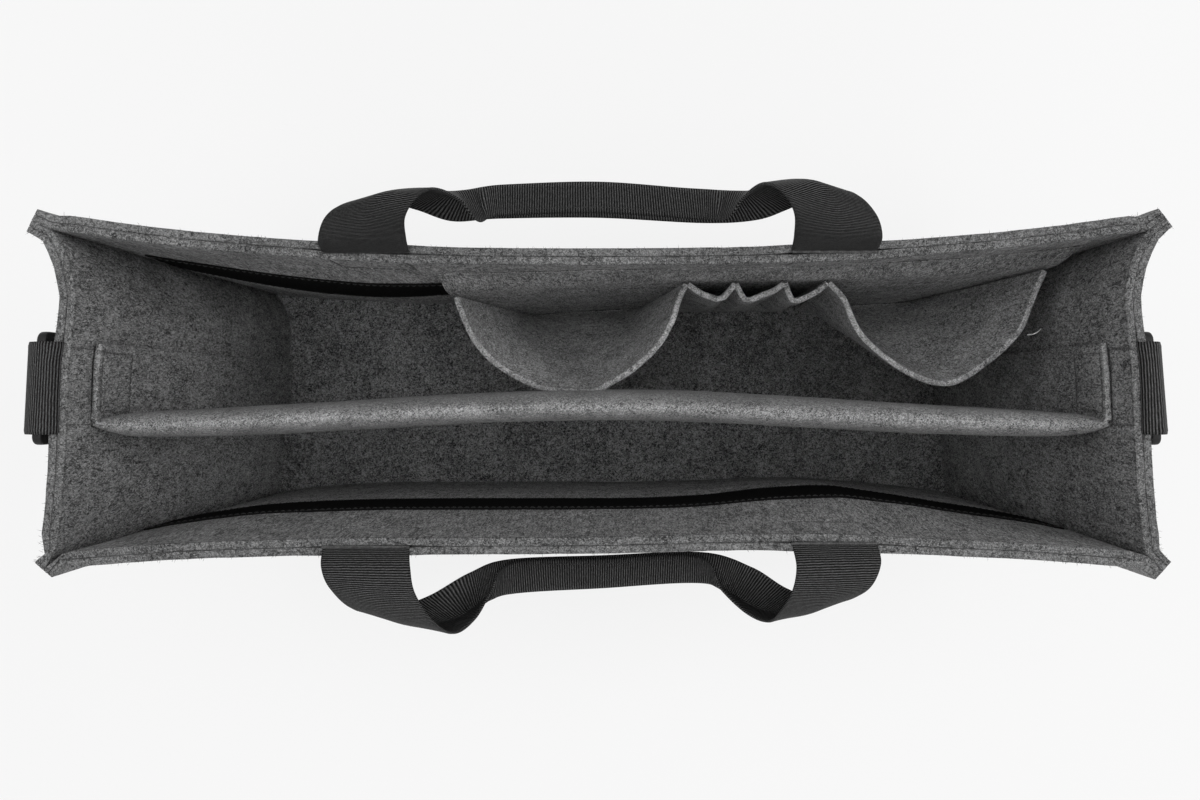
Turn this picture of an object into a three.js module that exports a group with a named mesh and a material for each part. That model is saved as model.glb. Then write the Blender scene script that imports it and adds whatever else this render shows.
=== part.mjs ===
// Felt knitting bag: an open tote with webbing handles, side rings, a lift-out divider and an organiser.
// Millimetres, +X right, +Y towards the organiser wall, +Z up. The origin is on the floor, under the middle.
import * as THREE from 'three';
import { mergeVertices } from 'three/addons/utils/BufferGeometryUtils.js';

// Body of the bag
const HEIGHT = 300;          // floor to rim
const CORNER_X = 248;        // inside corner, half length
const CORNER_BACK = 72;      // inside corner, organiser side
const CORNER_FRONT = 75.5;   // inside corner, front side
const FELT = 3;              // one layer of felt
const SEAM_GAP = 1.6;        // room for the webbing ends between the two layers
const WALL = 2 * FELT + SEAM_GAP;
const FLANGE = 10;           // outward seam allowance at the corners
const FIT = 0.3;             // air between pieces that touch
const BAND_Z = 235;          // top of the loop tape on the long walls
const BAND_WIDTH = 40;
const TAPE = 1;              // hook tape and loop tape thickness
const TAPE_HALF = 237;       // loop tape, half length

// Webbing
const WEBBING = 1.2;
const STRAP_WIDTH = 40;
const STRAP_X = 106.4;       // strap centre, each side of the middle
const ANCHOR_DEPTH = 30;     // webbing sewn in below the rim
const GRIP_WIDTH = 20;       // webbing folded in half
const GRIP_THICK = 3;

// Base
const BOARD = 2;             // stiffening board
const BASE_INSET = 1.2;

// Divider
const DIVIDER_TOP = 281;
const DIVIDER_THICK = 12;
const DIVIDER_HALF = 237;
const DIVIDER_FELT = 2.8;
const FLAP_FELT = 2.5;
const FLAP_BACK = 20.5;      // how far each end flap reaches towards the organiser
const PATCH = 38;            // hook patch side

// Organiser
const ORG_BOTTOM = 75;
const ORG_TOP = 237;
const ORG_FELT = 3;
const ORG_LEFT = -81;
const ORG_RIGHT = 234;
const BACKING_SETBACK = 2 * TAPE + 3 * FIT;

// Rings
const RING_LENGTH = 53;
const RING_DROP = 26;
const RING_BAR = 5;

const COLOURS = {
  feltOuter: { color: 0x57585a, roughness: 0.97, metalness: 0 },
  feltInner: { color: 0x515254, roughness: 0.97, metalness: 0 },
  webbing: { color: 0x1b1b1d, roughness: 0.7, metalness: 0 },
  tape: { color: 0x0d0d0e, roughness: 0.95, metalness: 0 },
  plastic: { color: 0x121214, roughness: 0.45, metalness: 0 },
  board: { color: 0x77726a, roughness: 0.9, metalness: 0 },
};

const bag = new THREE.Group();
bag.name = 'knitting_bag';

function addPart(name, geometry, finish) {
  const mesh = new THREE.Mesh(geometry, new THREE.MeshStandardMaterial(COLOURS[finish]));
  mesh.name = name;
  bag.add(mesh);
}

const mix = (a, b, t) => a + (b - a) * t;
const hump = (x, centre, spread) => Math.exp(-(((x - centre) / spread) ** 2));
const range = (from, to, steps) => Array.from({ length: steps + 1 }, (_, i) => mix(from, to, i / steps));

// ---- Closed solids from grids of points ----

// A slab whose two faces are grids of points [rows][columns], joined round the rim.
function slabGeometry(faceA, faceB) {
  const rows = faceA.length;
  const columns = faceA[0].length;
  const points = [...faceA.flat(), ...faceB.flat()];
  const at = (face, r, c) => face * rows * columns + r * columns + c;
  const index = [];
  const quad = (a, b, c, d) => index.push(a, b, c, a, c, d);
  for (let r = 0; r < rows - 1; r++) {
    for (let c = 0; c < columns - 1; c++) {
      quad(at(0, r, c), at(0, r, c + 1), at(0, r + 1, c + 1), at(0, r + 1, c));
      quad(at(1, r, c), at(1, r + 1, c), at(1, r + 1, c + 1), at(1, r, c + 1));
    }
  }
  for (let c = 0; c < columns - 1; c++) {
    quad(at(0, 0, c), at(1, 0, c), at(1, 0, c + 1), at(0, 0, c + 1));
    quad(at(0, rows - 1, c), at(0, rows - 1, c + 1), at(1, rows - 1, c + 1), at(1, rows - 1, c));
  }
  for (let r = 0; r < rows - 1; r++) {
    quad(at(0, r, 0), at(0, r + 1, 0), at(1, r + 1, 0), at(1, r, 0));
    quad(at(0, r, columns - 1), at(1, r, columns - 1), at(1, r + 1, columns - 1), at(0, r + 1, columns - 1));
  }
  const geometry = new THREE.BufferGeometry();
  geometry.setAttribute('position', new THREE.Float32BufferAttribute(points.flat(), 3));
  geometry.setIndex(index);
  return facingOut(geometry);
}

// An extrusion as one closed skin: only positions, with shared corners merged.
function weld(geometry) {
  geometry.deleteAttribute('normal');
  geometry.deleteAttribute('uv');
  return mergeVertices(geometry, 1e-4);
}

// Turns a closed geometry the right way out, by the sign of its volume.
function facingOut(geometry) {
  const p = geometry.attributes.position;
  const index = geometry.index.array;
  const corner = [new THREE.Vector3(), new THREE.Vector3(), new THREE.Vector3()];
  let volume = 0;
  for (let i = 0; i < index.length; i += 3) {
    corner.forEach((v, k) => v.fromBufferAttribute(p, index[i + k]));
    volume += corner[0].dot(corner[1].clone().cross(corner[2]));
  }
  if (volume < 0) {
    for (let i = 0; i < index.length; i += 3) {
      [index[i], index[i + 1]] = [index[i + 1], index[i]];
    }
  }
  geometry.computeVertexNormals();
  return geometry;
}

// Moves a plan path sideways: positive is to the left of its direction.
function offsetPath(path, distance) {
  return path.map((point, i) => {
    const before = path[Math.max(i - 1, 0)];
    const after = path[Math.min(i + 1, path.length - 1)];
    const into = new THREE.Vector2(point[0] - before[0], point[1] - before[1]).normalize();
    const out = new THREE.Vector2(after[0] - point[0], after[1] - point[1]).normalize();
    const along = into.clone().add(out).normalize();
    const turn = into.length() && out.length() ? Math.min(1, into.dot(out)) : 1;
    const half = Math.sqrt((1 + turn) / 2);
    return [point[0] - (along.y * distance) / half, point[1] + (along.x * distance) / half];
  });
}

// A sheet that stands on a plan path given at each height, between two sideways offsets.
function standingSheet(pathAt, heights, near, far) {
  const face = (distance) => heights.map((z) => offsetPath(pathAt(z), distance).map(([x, y]) => [x, y, z]));
  return slabGeometry(face(near), face(far));
}

// ---- Shape of the felt walls ----

// How far a long wall leans in from its corners, blended from base to tape level to rim.
function leanIn(z, base, band, rim) {
  const bandMiddle = BAND_Z - BAND_WIDTH / 2;
  if (z <= bandMiddle) return mix(base, band, Math.sin((Math.PI / 2) * (z / bandMiddle)));
  return mix(band, rim, (1 - Math.cos((Math.PI * (z - bandMiddle)) / (HEIGHT - bandMiddle))) / 2);
}

function backLean(x, z) {
  const u = Math.min(1, Math.abs(x) / CORNER_X);
  const base = 5 * (1 - u ** 6);
  const band = 8 * (1 - u ** 5) + 9 * hump(x, -100, 75) * (1 - u ** 8);
  const rim = 15.5 * (1 - u ** 2.4);
  return leanIn(z, base, band, rim);
}

function frontLean(x, z) {
  const u = Math.min(1, Math.abs(x) / CORNER_X);
  const base = 7 * (1 - u ** 6) + 3 * hump(x, 126, 60) * (1 - u ** 8);
  const band = 13.2 * (1 - u ** 5) + 8 * hump(x, 115, 50);
  const rim = 6.2 * (1 - u ** 4) + 2 * hump(x, 80, 60);
  return leanIn(z, base, band, rim);
}

// Seam directions at the four corners: the flange, and the way from the seam to the long panel.
const BACK_FLANGE = new THREE.Vector2(0.8, 0.6);
const FRONT_FLANGE = new THREE.Vector2(0.66, -0.75).normalize();
const HALF_SEAM = WALL / 2 + FIT / 2;

function flangePoint(side, isBack, toPanel, along) {
  const out = isBack ? BACK_FLANGE : FRONT_FLANGE;
  const across = new THREE.Vector2(-Math.abs(out.y), isBack ? out.x : -out.x).multiplyScalar(toPanel);
  const y = isBack ? CORNER_BACK : -CORNER_FRONT;
  return [side * (CORNER_X + out.x * along + across.x), y + out.y * along + across.y];
}

const PANEL_STEPS = 16;

// Middle of a long wall's thickness at height z, from left flange to right flange.
function longWallPath(isBack, z) {
  const turn = flangePoint(1, isBack, HALF_SEAM, 0);
  const lean = isBack ? backLean : frontLean;
  const main = range(-turn[0], turn[0], PANEL_STEPS).map((x) => {
    const stretched = (x / turn[0]) * CORNER_X;
    return [x, turn[1] - Math.sign(turn[1]) * lean(stretched, z)];
  });
  return [flangePoint(-1, isBack, HALF_SEAM, FLANGE), ...main, flangePoint(1, isBack, HALF_SEAM, FLANGE)];
}

const GUSSET_BOW = 4.5;
const GUSSET_DENT = 7;       // extra inward curve towards the organiser end

// Middle of an end gusset's thickness, from front flange to back flange.
function gussetPath(side) {
  const back = flangePoint(side, true, -HALF_SEAM, 0);
  const front = flangePoint(side, false, -HALF_SEAM, 0);
  const main = range(0, 1, 10).map((t) => {
    const y = mix(front[1], back[1], t);
    const round = Math.sin(Math.PI * t);
    const bow = GUSSET_BOW * round ** 0.7 + GUSSET_DENT * hump(y, 46, 24) * round ** 0.3;
    return [mix(front[0], back[0], t) - side * bow, y];
  });
  return [flangePoint(side, false, -HALF_SEAM, FLANGE), ...main, flangePoint(side, true, -HALF_SEAM, FLANGE)];
}

const WALL_HEIGHTS = [0, 45, 95, 150, 195, 215, 235, 268, HEIGHT];
const LAYER_NEAR = SEAM_GAP / 2;
const LAYER_FAR = WALL / 2;

// Y of the middle of a long wall's thickness, read off the same facets that the felt is built from.
function wallMiddleY(isBack, x, z) {
  const top = Math.max(1, WALL_HEIGHTS.findIndex((height) => height >= Math.min(z, HEIGHT)));
  const [low, high] = [WALL_HEIGHTS[top - 1], WALL_HEIGHTS[top]];
  const atHeight = (height) => {
    const path = longWallPath(isBack, height).slice(1, -1);
    const i = Math.max(1, path.findIndex((point) => point[0] >= x));
    const [a, b] = [path[i - 1], path[i]];
    return mix(a[1], b[1], (x - a[0]) / (b[0] - a[0]));
  };
  return mix(atHeight(low), atHeight(high), (Math.min(z, HEIGHT) - low) / (high - low));
}

function buildLongWall(name, isBack) {
  const inward = isBack ? -1 : 1;
  const path = (z) => longWallPath(isBack, z);
  const layer = (way) => standingSheet(path, WALL_HEIGHTS, way * LAYER_NEAR, way * LAYER_FAR);
  addPart(`${name}_inner_panel`, layer(inward), 'feltInner');
  addPart(`${name}_outer_panel`, layer(-inward), 'feltOuter');
}

function buildGusset(name, side) {
  const path = () => gussetPath(side);
  const layer = (way) => standingSheet(path, [0, HEIGHT], way * LAYER_NEAR, way * LAYER_FAR);
  addPart(`${name}_inner_gusset`, layer(side), 'feltInner');
  addPart(`${name}_outer_gusset`, layer(-side), 'feltOuter');
}

buildLongWall('front', false);
buildLongWall('back', true);
buildGusset('left', -1);
buildGusset('right', 1);

// ---- Base ----

// Plan outline inside the four walls, pulled in by the inset.
function baseOutline(z, inset) {
  const room = WALL / 2 + inset;
  const clearX = ([x]) => Math.abs(x) < CORNER_X - 22;
  const clearY = ([, y]) => y > -CORNER_FRONT + 12 && y < CORNER_BACK - 10;
  const front = offsetPath(longWallPath(false, z), room).filter(clearX);
  const back = offsetPath(longWallPath(true, z), -room).filter(clearX);
  const left = offsetPath(gussetPath(-1), -room).filter(clearY);
  const right = offsetPath(gussetPath(1), room).filter(clearY);
  return [...front, ...right, ...back.reverse(), ...left.reverse()].map(([x, y]) => new THREE.Vector2(x, y));
}

function buildBaseLayer(name, bottom, thickness, inset, finish) {
  const outline = new THREE.Shape(baseOutline(bottom + thickness, inset));
  const geometry = new THREE.ExtrudeGeometry(outline, { depth: thickness, bevelEnabled: false });
  geometry.translate(0, 0, bottom);
  addPart(name, weld(geometry), finish);
}

const BASE_LEVELS = [
  ['base_outer_panel', FELT, BASE_INSET, 'feltOuter'],
  ['base_board', BOARD, BASE_INSET + 6, 'board'],
  ['base_inner_panel', FELT, BASE_INSET, 'feltInner'],
];
let baseTop = 0;
for (const [name, thickness, inset, finish] of BASE_LEVELS) {
  buildBaseLayer(name, baseTop, thickness, inset, finish);
  baseTop += thickness + FIT;
}

// ---- Loop tape on the long walls ----

function buildLoopTape(name, isBack) {
  const inward = isBack ? -1 : 1;
  const ends = (z) => [-TAPE_HALF, TAPE_HALF].map((x) => [x, wallMiddleY(isBack, x, z)]);
  const path = (z) => {
    const [first, last] = ends(z);
    return [first, ...longWallPath(isBack, z).filter(([x]) => Math.abs(x) < TAPE_HALF - 5), last];
  };
  const near = inward * (WALL / 2 + FIT);
  const heights = [BAND_Z - BAND_WIDTH, BAND_Z - BAND_WIDTH / 2, BAND_Z];
  addPart(name, standingSheet(path, heights, near, near + inward * TAPE), 'tape');
}

buildLoopTape('front_loop_tape', false);
buildLoopTape('back_loop_tape', true);

// ---- Organiser ----

// The organiser hangs straight down: its plan follows the part of the tape that leans in furthest.
function backingPath(from, to, steps) {
  const tapeLevels = [BAND_Z - BAND_WIDTH / 2, BAND_Z];
  return range(from, to, steps).map((x) => {
    const furthest = Math.min(...tapeLevels.map((z) => wallMiddleY(true, x, z)));
    return [x, furthest - WALL / 2 - FIT / 2];
  });
}

function buildHookStrip() {
  const path = () => backingPath(ORG_LEFT + 4, ORG_RIGHT - 4, 12);
  const heights = [BAND_Z - BAND_WIDTH + 4, BAND_Z - 4];
  const near = TAPE + 2 * FIT;
  addPart('organiser_hook_strip', standingSheet(path, heights, -near, -near - TAPE), 'tape');
}

function buildBacking() {
  const path = () => backingPath(ORG_LEFT, ORG_RIGHT, 14);
  const near = BACKING_SETBACK;
  const sheet = standingSheet(path, [ORG_BOTTOM, ORG_TOP], -near, -near - ORG_FELT);
  addPart('organiser_backing', sheet, 'feltInner');
}

// Front of the backing at one x.
const backingFront = (x) => backingPath(x, x + 1, 1)[0][1] - BACKING_SETBACK - ORG_FELT;

// A pocket sheet: seam to seam at the top, seam to seam at the bottom, swelling forward towards the top.
function pocketSheet({ top, bottom, swell, fullness, low }) {
  const columns = 12;
  const levels = [0, 0.12, 0.3, 0.55, 0.8, 1];
  const face = (extra) =>
    levels.map((level) => {
      const z = mix(low, BAND_Z, level);
      return range(0, 1, columns).map((t) => {
        const x = mix(mix(bottom[0], bottom[1], t), mix(top[0], top[1], t), level);
        const round = Math.sin(Math.PI * t) ** fullness;
        const forward = swell * round * level ** 0.75;
        const edge = Math.min(1, 4 * Math.min(t, 1 - t));
        const side = extra * 0.75 * (1 - 2 * t) * (swell > 20 ? 1 - edge : 0);
        return [x - side, backingFront(x) - FIT - forward - extra, z];
      });
    });
  return slabGeometry(face(0), face(ORG_FELT));
}

const SLOT_SEAMS = [43.3, 68.5, 94.1, 116];

function buildPockets() {
  const low = ORG_BOTTOM + 1;
  const left = { top: [-76, 40.8], bottom: [-53, 20], swell: 47, fullness: 0.75, low };
  const right = { top: [118.9, 229], bottom: [124, 200], swell: 49, fullness: 0.75, low };
  addPart('left_pocket', pocketSheet(left), 'feltInner');
  addPart('right_pocket', pocketSheet(right), 'feltInner');
  for (let i = 0; i < SLOT_SEAMS.length - 1; i++) {
    const span = [SLOT_SEAMS[i] + 0.6, SLOT_SEAMS[i + 1] - 0.6];
    const shape = { top: span, bottom: span, swell: 8, fullness: 0.9, low };
    addPart(`tool_slot_${i + 1}`, pocketSheet(shape), 'feltInner');
  }
}

buildHookStrip();
buildBacking();
buildPockets();

// ---- Divider ----

const DIVIDER_BOTTOM = baseTop + 0.5;
const dividerCentre = (x) => -8.6 - 10.2 * (1 - hump(x, 0, 150));

function dividerPath(half) {
  return range(-half, half, 16).map((x) => [x, dividerCentre(x)]);
}

// Felt folded over the core: an upside-down U, open at the bottom and the ends.
function buildDividerCover() {
  const half = DIVIDER_THICK / 2;
  const inside = half - DIVIDER_FELT;
  const round = (radius, centreZ, steps) =>
    range(0, Math.PI, steps).map((a) => [radius * Math.cos(a), centreZ + radius * Math.sin(a)]);
  const outer = [[half, DIVIDER_BOTTOM], ...round(half, DIVIDER_TOP - half, 6), [-half, DIVIDER_BOTTOM]];
  const fold = round(inside, DIVIDER_TOP - half, 6);
  const inner = [[inside, DIVIDER_BOTTOM], ...fold, [-inside, DIVIDER_BOTTOM]];
  const place = (profile) =>
    profile.map(([offset, z]) => offsetPath(dividerPath(DIVIDER_HALF), offset).map(([x, y]) => [x, y, z]));
  addPart('divider_cover', slabGeometry(place(outer), place(inner)), 'feltInner');
}

function buildDividerCore() {
  const half = DIVIDER_THICK / 2 - DIVIDER_FELT - FIT;
  const heights = [DIVIDER_BOTTOM + 1, DIVIDER_TOP - DIVIDER_THICK / 2];
  addPart('divider_core', standingSheet(() => dividerPath(DIVIDER_HALF - 4), heights, half, -half), 'board');
}

// End flap lying along the gusset, and the hook patch between the two.
function gussetInnerX(side, y) {
  const inner = offsetPath(gussetPath(side), side * (WALL / 2));
  const i = inner.findIndex((point) => point[1] > y);
  const [a, b] = [inner[i - 1], inner[i]];
  return mix(a[0], b[0], (y - a[1]) / (b[1] - a[1]));
}

function buildFlap(name, side) {
  const front = dividerCentre(DIVIDER_HALF) - DIVIDER_THICK / 2;
  const line = (from, to, gap) => () =>
    range(from, to, 4).map((y) => [gussetInnerX(side, y) - side * gap, y]);
  const flapLine = line(front, FLAP_BACK + 1, 2 * FIT + TAPE);
  const flap = standingSheet(flapLine, [DIVIDER_BOTTOM, DIVIDER_TOP], 0, side * FLAP_FELT);
  addPart(`divider_${name}_flap`, flap, 'feltInner');
  const heights = [DIVIDER_TOP - PATCH - 4, DIVIDER_TOP - 4];
  const patch = standingSheet(line(FLAP_BACK - PATCH, FLAP_BACK, FIT), heights, 0, side * TAPE);
  addPart(`divider_${name}_hook_patch`, patch, 'tape');
}

buildDividerCover();
buildDividerCore();
buildFlap('left', -1);
buildFlap('right', 1);

// ---- Handles ----

// Left half of each handle, as the two edges of the webbing from the rim to the middle of the grip:
// outer edge, inner edge, thickness. Beyond the last strap station the webbing is folded in half.
const BACK_HANDLE = [
  [[-126, 61.5, 302], [-86.8, 61.5, 302]],
  [[-122.5, 65, 315], [-84, 65, 316]],
  [[-116.5, 70, 327], [-79, 71.5, 336]],
  [[-108, 77, 330], [-70, 77.5, 350]],
  [[-96, 82, 318], [-60, 80, 348]],
  [[-82, 80, 306], [-53, 76, 336]],
  [[-62, 75, 305], [-44, 82, 324]],
  [[-40, 75.5, 310], [-32, 88, 322]],
  [[0, 76, 311], [0, 88, 325]],
];
const FRONT_HANDLE = [
  [[-126, -71.6, 302], [-86.8, -71.6, 302]],
  [[-124, -80, 307], [-84.5, -80, 308]],
  [[-121, -90, 305], [-82.5, -92, 307]],
  [[-112, -101, 296], [-75, -106, 299]],
  [[-98, -103, 284], [-66, -113, 289]],
  [[-82, -98.5, 277], [-58, -108, 283]],
  [[-64, -89, 270], [-50, -100, 280]],
  [[-42, -82.8, 268], [-36, -98, 278]],
  [[0, -82.3, 268], [0, -95, 278]],
];
const GRIP_STATION = 7;      // index where the folded grip begins

function mirrorStations(stations) {
  const flip = ([x, y, z]) => [-x, y, z];
  return stations.slice(0, -1).reverse().map(([outer, inner]) => [flip(outer), flip(inner)]);
}

function buildHandle(name, half) {
  const stations = [...half, ...mirrorStations(half)];
  const edge = (k) => new THREE.CatmullRomCurve3(stations.map((s) => new THREE.Vector3(...s[k])));
  const [outer, inner] = [edge(0), edge(1)];
  const spans = stations.length - 1;
  const steps = spans * 3;
  const faces = [[], []];
  for (let i = 0; i <= steps; i++) {
    const t = i / steps;
    const middle = outer.getPoint(t).add(inner.getPoint(t)).multiplyScalar(0.5);
    const across = inner.getPoint(t).sub(outer.getPoint(t)).normalize();
    const ahead = outer.getTangent(t).add(inner.getTangent(t)).normalize();
    const normal = ahead.clone().cross(across).normalize();
    const station = Math.min(t * spans, spans - t * spans);
    const folded = THREE.MathUtils.smoothstep(station, GRIP_STATION - 1.6, GRIP_STATION);
    const width = mix(STRAP_WIDTH, GRIP_WIDTH, folded);
    const thick = mix(WEBBING, GRIP_THICK, folded);
    [0.5, -0.5].forEach((side, k) => {
      faces[k].push([0.5, -0.5].map((w) => {
        const point = middle.clone().addScaledVector(across, w * width);
        return point.addScaledVector(normal, side * thick).toArray();
      }));
    });
  }
  addPart(name, slabGeometry(faces[0], faces[1]), 'webbing');
}

// Ends of the webbing, sewn between the two felt layers.
function buildAnchor(name, isBack, side) {
  const half = STRAP_WIDTH / 2 - FIT;
  const across = range(side * STRAP_X - half, side * STRAP_X + half, 8);
  const path = (z) => across.map((x) => [x, wallMiddleY(isBack, x, z)]);
  const thin = WEBBING / 2 - 0.15;
  const heights = [HEIGHT - ANCHOR_DEPTH, HEIGHT - 15, HEIGHT + 0.8];
  addPart(name, standingSheet(path, heights, thin, -thin), 'webbing');
}

buildHandle('back_handle', BACK_HANDLE);
buildHandle('front_handle', FRONT_HANDLE);
for (const [word, side] of [['left', -1], ['right', 1]]) {
  buildAnchor(`front_${word}_strap_anchor`, false, side);
  buildAnchor(`back_${word}_strap_anchor`, true, side);
}

// ---- Side loops and rings ----

const LOOP_WIDTH = 42;
const RING_OUT = { left: 13, right: 8.7 };       // bar centre, outwards from the middle of the gusset
const RING_SLANT = { left: 0.053, right: -0.08 }; // how the bar runs off the Y axis
const RING_Z = 291;          // bar centre height
const RING_FIT = 0.5;        // air between the bar and the eye it turns in
const EYE = RING_BAR / 2 + RING_FIT + WEBBING;

// Side view of a loop: the doubled end in the seam, the turn over the felt, and the eye round the bar.
function loopOutline(out) {
  const thin = WEBBING / 2 - 0.1;
  const shape = new THREE.Shape();
  shape.moveTo(-thin, HEIGHT - ANCHOR_DEPTH + 4);
  shape.lineTo(-thin, HEIGHT + 1);
  shape.quadraticCurveTo(0, HEIGHT + 4.2, 4.5, HEIGHT + 4.2);
  shape.quadraticCurveTo(out + EYE, HEIGHT + 3, out + EYE, RING_Z);
  shape.absarc(out, RING_Z, EYE, 0, -Math.PI, true);
  shape.quadraticCurveTo(out - EYE, HEIGHT + 1.4, 4.2, HEIGHT + 1.4);
  shape.lineTo(thin + 0.4, HEIGHT + 0.6);
  shape.lineTo(thin, HEIGHT - 0.5);
  shape.lineTo(thin, HEIGHT - ANCHOR_DEPTH + 4);
  const hole = new THREE.Path();
  hole.absarc(out, RING_Z, RING_BAR / 2 + RING_FIT, 0, 2 * Math.PI, false);
  shape.holes.push(hole);
  return shape;
}

// Extrudes a side view, drawn outwards and upwards, along the gusset.
function extrudeAlongGusset(shape, length, side, slant, straightFrom) {
  const settings = { depth: length, steps: 4, bevelEnabled: false, curveSegments: 5 };
  const merged = weld(new THREE.ExtrudeGeometry(shape, settings));
  const place = new THREE.Matrix4().makeBasis(
    new THREE.Vector3(side, 0, 0), new THREE.Vector3(0, 0, 1), new THREE.Vector3(0, -side, 0));
  merged.applyMatrix4(place);
  merged.translate(side * gussetMiddleX, side * (length / 2), 0);
  followGusset(merged, side, slant, straightFrom);
  return facingOut(merged);
}

const gussetMiddleX = Math.abs(gussetInnerX(1, 0)) + WALL / 2;

// Bends the sewn-in end of a loop to the gusset's curve and leaves the eye straight, along the bar.
function followGusset(geometry, side, slant, straightFrom) {
  const p = geometry.attributes.position;
  for (let i = 0; i < p.count; i++) {
    const outwards = Math.abs(p.getX(i)) - gussetMiddleX;
    const hold = 1 - THREE.MathUtils.smoothstep(outwards, 1.5, straightFrom);
    const shift = Math.abs(gussetInnerX(1, p.getY(i))) + WALL / 2 - gussetMiddleX;
    p.setX(i, p.getX(i) + side * hold * shift + (1 - hold) * slant * p.getY(i));
  }
}

function buildLoop(name, side) {
  const out = RING_OUT[name];
  const geometry = extrudeAlongGusset(loopOutline(out), LOOP_WIDTH, side, RING_SLANT[name], out - EYE);
  addPart(`${name}_ring_loop`, geometry, 'webbing');
}

// Rectangular ring hanging from the loop: an upright frame of round-cornered bar.
function buildRing(name, side) {
  const half = RING_LENGTH / 2 - RING_BAR / 2;
  const drop = RING_DROP - RING_BAR;
  const corner = 3;
  const route = new THREE.CurvePath();
  const corners = [[-half, 0], [half, 0], [half, -drop], [-half, -drop]];
  corners.forEach(([y, z], i) => {
    const next = corners[(i + 1) % 4];
    const after = corners[(i + 2) % 4];
    const along = new THREE.Vector2(next[0] - y, next[1] - z).normalize();
    const turned = new THREE.Vector2(after[0] - next[0], after[1] - next[1]).normalize();
    const start = new THREE.Vector3(0, y + along.x * corner, z + along.y * corner);
    const end = new THREE.Vector3(0, next[0] - along.x * corner, next[1] - along.y * corner);
    const bend = new THREE.Vector3(0, next[0], next[1]);
    const leave = new THREE.Vector3(0, next[0] + turned.x * corner, next[1] + turned.y * corner);
    route.add(new THREE.LineCurve3(start, end));
    route.add(new THREE.QuadraticBezierCurve3(end, bend, leave));
  });
  const centre = new THREE.Vector3(side * (gussetMiddleX + RING_OUT[name]), 0, RING_Z);
  addPart(`${name}_ring`, closedTube(route, RING_BAR / 2, centre, RING_SLANT[name]), 'plastic');
}

// A round bar swept round a closed route that lies in the YZ plane, then slanted in plan.
function closedTube(route, radius, centre, slant) {
  const sides = 8;
  const stops = route.curves.flatMap((curve) => (curve.isLineCurve3 ? [curve.getPoint(0)]
    : [0, 0.33, 0.67].map((t) => curve.getPoint(t))));
  const count = stops.length;
  const points = [];
  stops.forEach((stop, i) => {
    const ahead = stops[(i + 1) % count].clone().sub(stops[(i + count - 1) % count]).normalize();
    const across = ahead.clone().cross(new THREE.Vector3(1, 0, 0)).normalize();
    for (let k = 0; k < sides; k++) {
      const angle = ((k + 0.5) / sides) * 2 * Math.PI;
      const point = stop.clone().add(centre);
      point.x += radius * Math.cos(angle);
      point.addScaledVector(across, radius * Math.sin(angle));
      points.push(point.x + slant * point.y, point.y, point.z);
    }
  });
  const index = [];
  for (let i = 0; i < count; i++) {
    for (let k = 0; k < sides; k++) {
      const [a, b] = [i * sides + k, i * sides + ((k + 1) % sides)];
      const [c, d] = [((i + 1) % count) * sides + k, ((i + 1) % count) * sides + ((k + 1) % sides)];
      index.push(a, b, d, a, d, c);
    }
  }
  const geometry = new THREE.BufferGeometry();
  geometry.setAttribute('position', new THREE.Float32BufferAttribute(points, 3));
  geometry.setIndex(index);
  return facingOut(geometry);
}

buildLoop('left', -1);
buildLoop('right', 1);
buildRing('left', -1);
buildRing('right', 1);

export default bag;
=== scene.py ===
"""Felt knitting bag: the soft goods, webbing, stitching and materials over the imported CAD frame."""
import math
import random

import bpy
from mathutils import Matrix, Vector, noise
from mathutils.bvhtree import BVHTree


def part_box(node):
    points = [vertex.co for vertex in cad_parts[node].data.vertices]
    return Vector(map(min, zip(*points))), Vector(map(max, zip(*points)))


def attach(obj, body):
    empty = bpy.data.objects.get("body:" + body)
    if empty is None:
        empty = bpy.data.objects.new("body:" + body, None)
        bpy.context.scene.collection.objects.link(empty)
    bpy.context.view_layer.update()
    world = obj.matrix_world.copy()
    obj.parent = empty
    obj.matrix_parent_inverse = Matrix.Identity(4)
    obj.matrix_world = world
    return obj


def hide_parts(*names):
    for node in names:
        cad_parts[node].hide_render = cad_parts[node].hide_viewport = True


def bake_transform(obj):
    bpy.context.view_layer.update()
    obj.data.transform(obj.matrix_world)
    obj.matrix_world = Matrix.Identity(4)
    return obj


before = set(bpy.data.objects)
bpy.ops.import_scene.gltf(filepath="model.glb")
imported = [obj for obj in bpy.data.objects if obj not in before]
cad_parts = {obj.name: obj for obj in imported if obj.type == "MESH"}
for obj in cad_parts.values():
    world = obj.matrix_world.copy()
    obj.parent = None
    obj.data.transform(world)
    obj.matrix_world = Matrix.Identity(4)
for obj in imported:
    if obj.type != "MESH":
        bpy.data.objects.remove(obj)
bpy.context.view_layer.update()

MM = 0.001
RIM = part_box("front_inner_panel")[1].z            # height of the rim
LAYER_GAP = 0.06 * MM                             # dark line between the two layers at the rim
SUNK = 0.35 * MM                                  # how far stitches on felt sink into it
FLAT_ARCH = 0.25 * MM                             # height of a tight stitch's arch


# ---------------------------------------------------------------- small helpers

def mix(a, b, t):
    return a + (b - a) * t


def clamp(x, low=0.0, high=1.0):
    return max(low, min(high, x))


def smooth(low, high, x):
    t = clamp((x - low) / (high - low))
    return t * t * (3 - 2 * t)


def hump(x, centre, spread):
    return math.exp(-(((x - centre) / spread) ** 2))


def spread(low, high, count):
    return [mix(low, high, i / (count - 1)) for i in range(count)]


def catmull(a, b, c, d, t):
    bend, twist = 2 * a - 5 * b + 4 * c - d, 3 * b - a - 3 * c + d
    return 0.5 * (2 * b + (c - a) * t + bend * t * t + twist * t ** 3)


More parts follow.
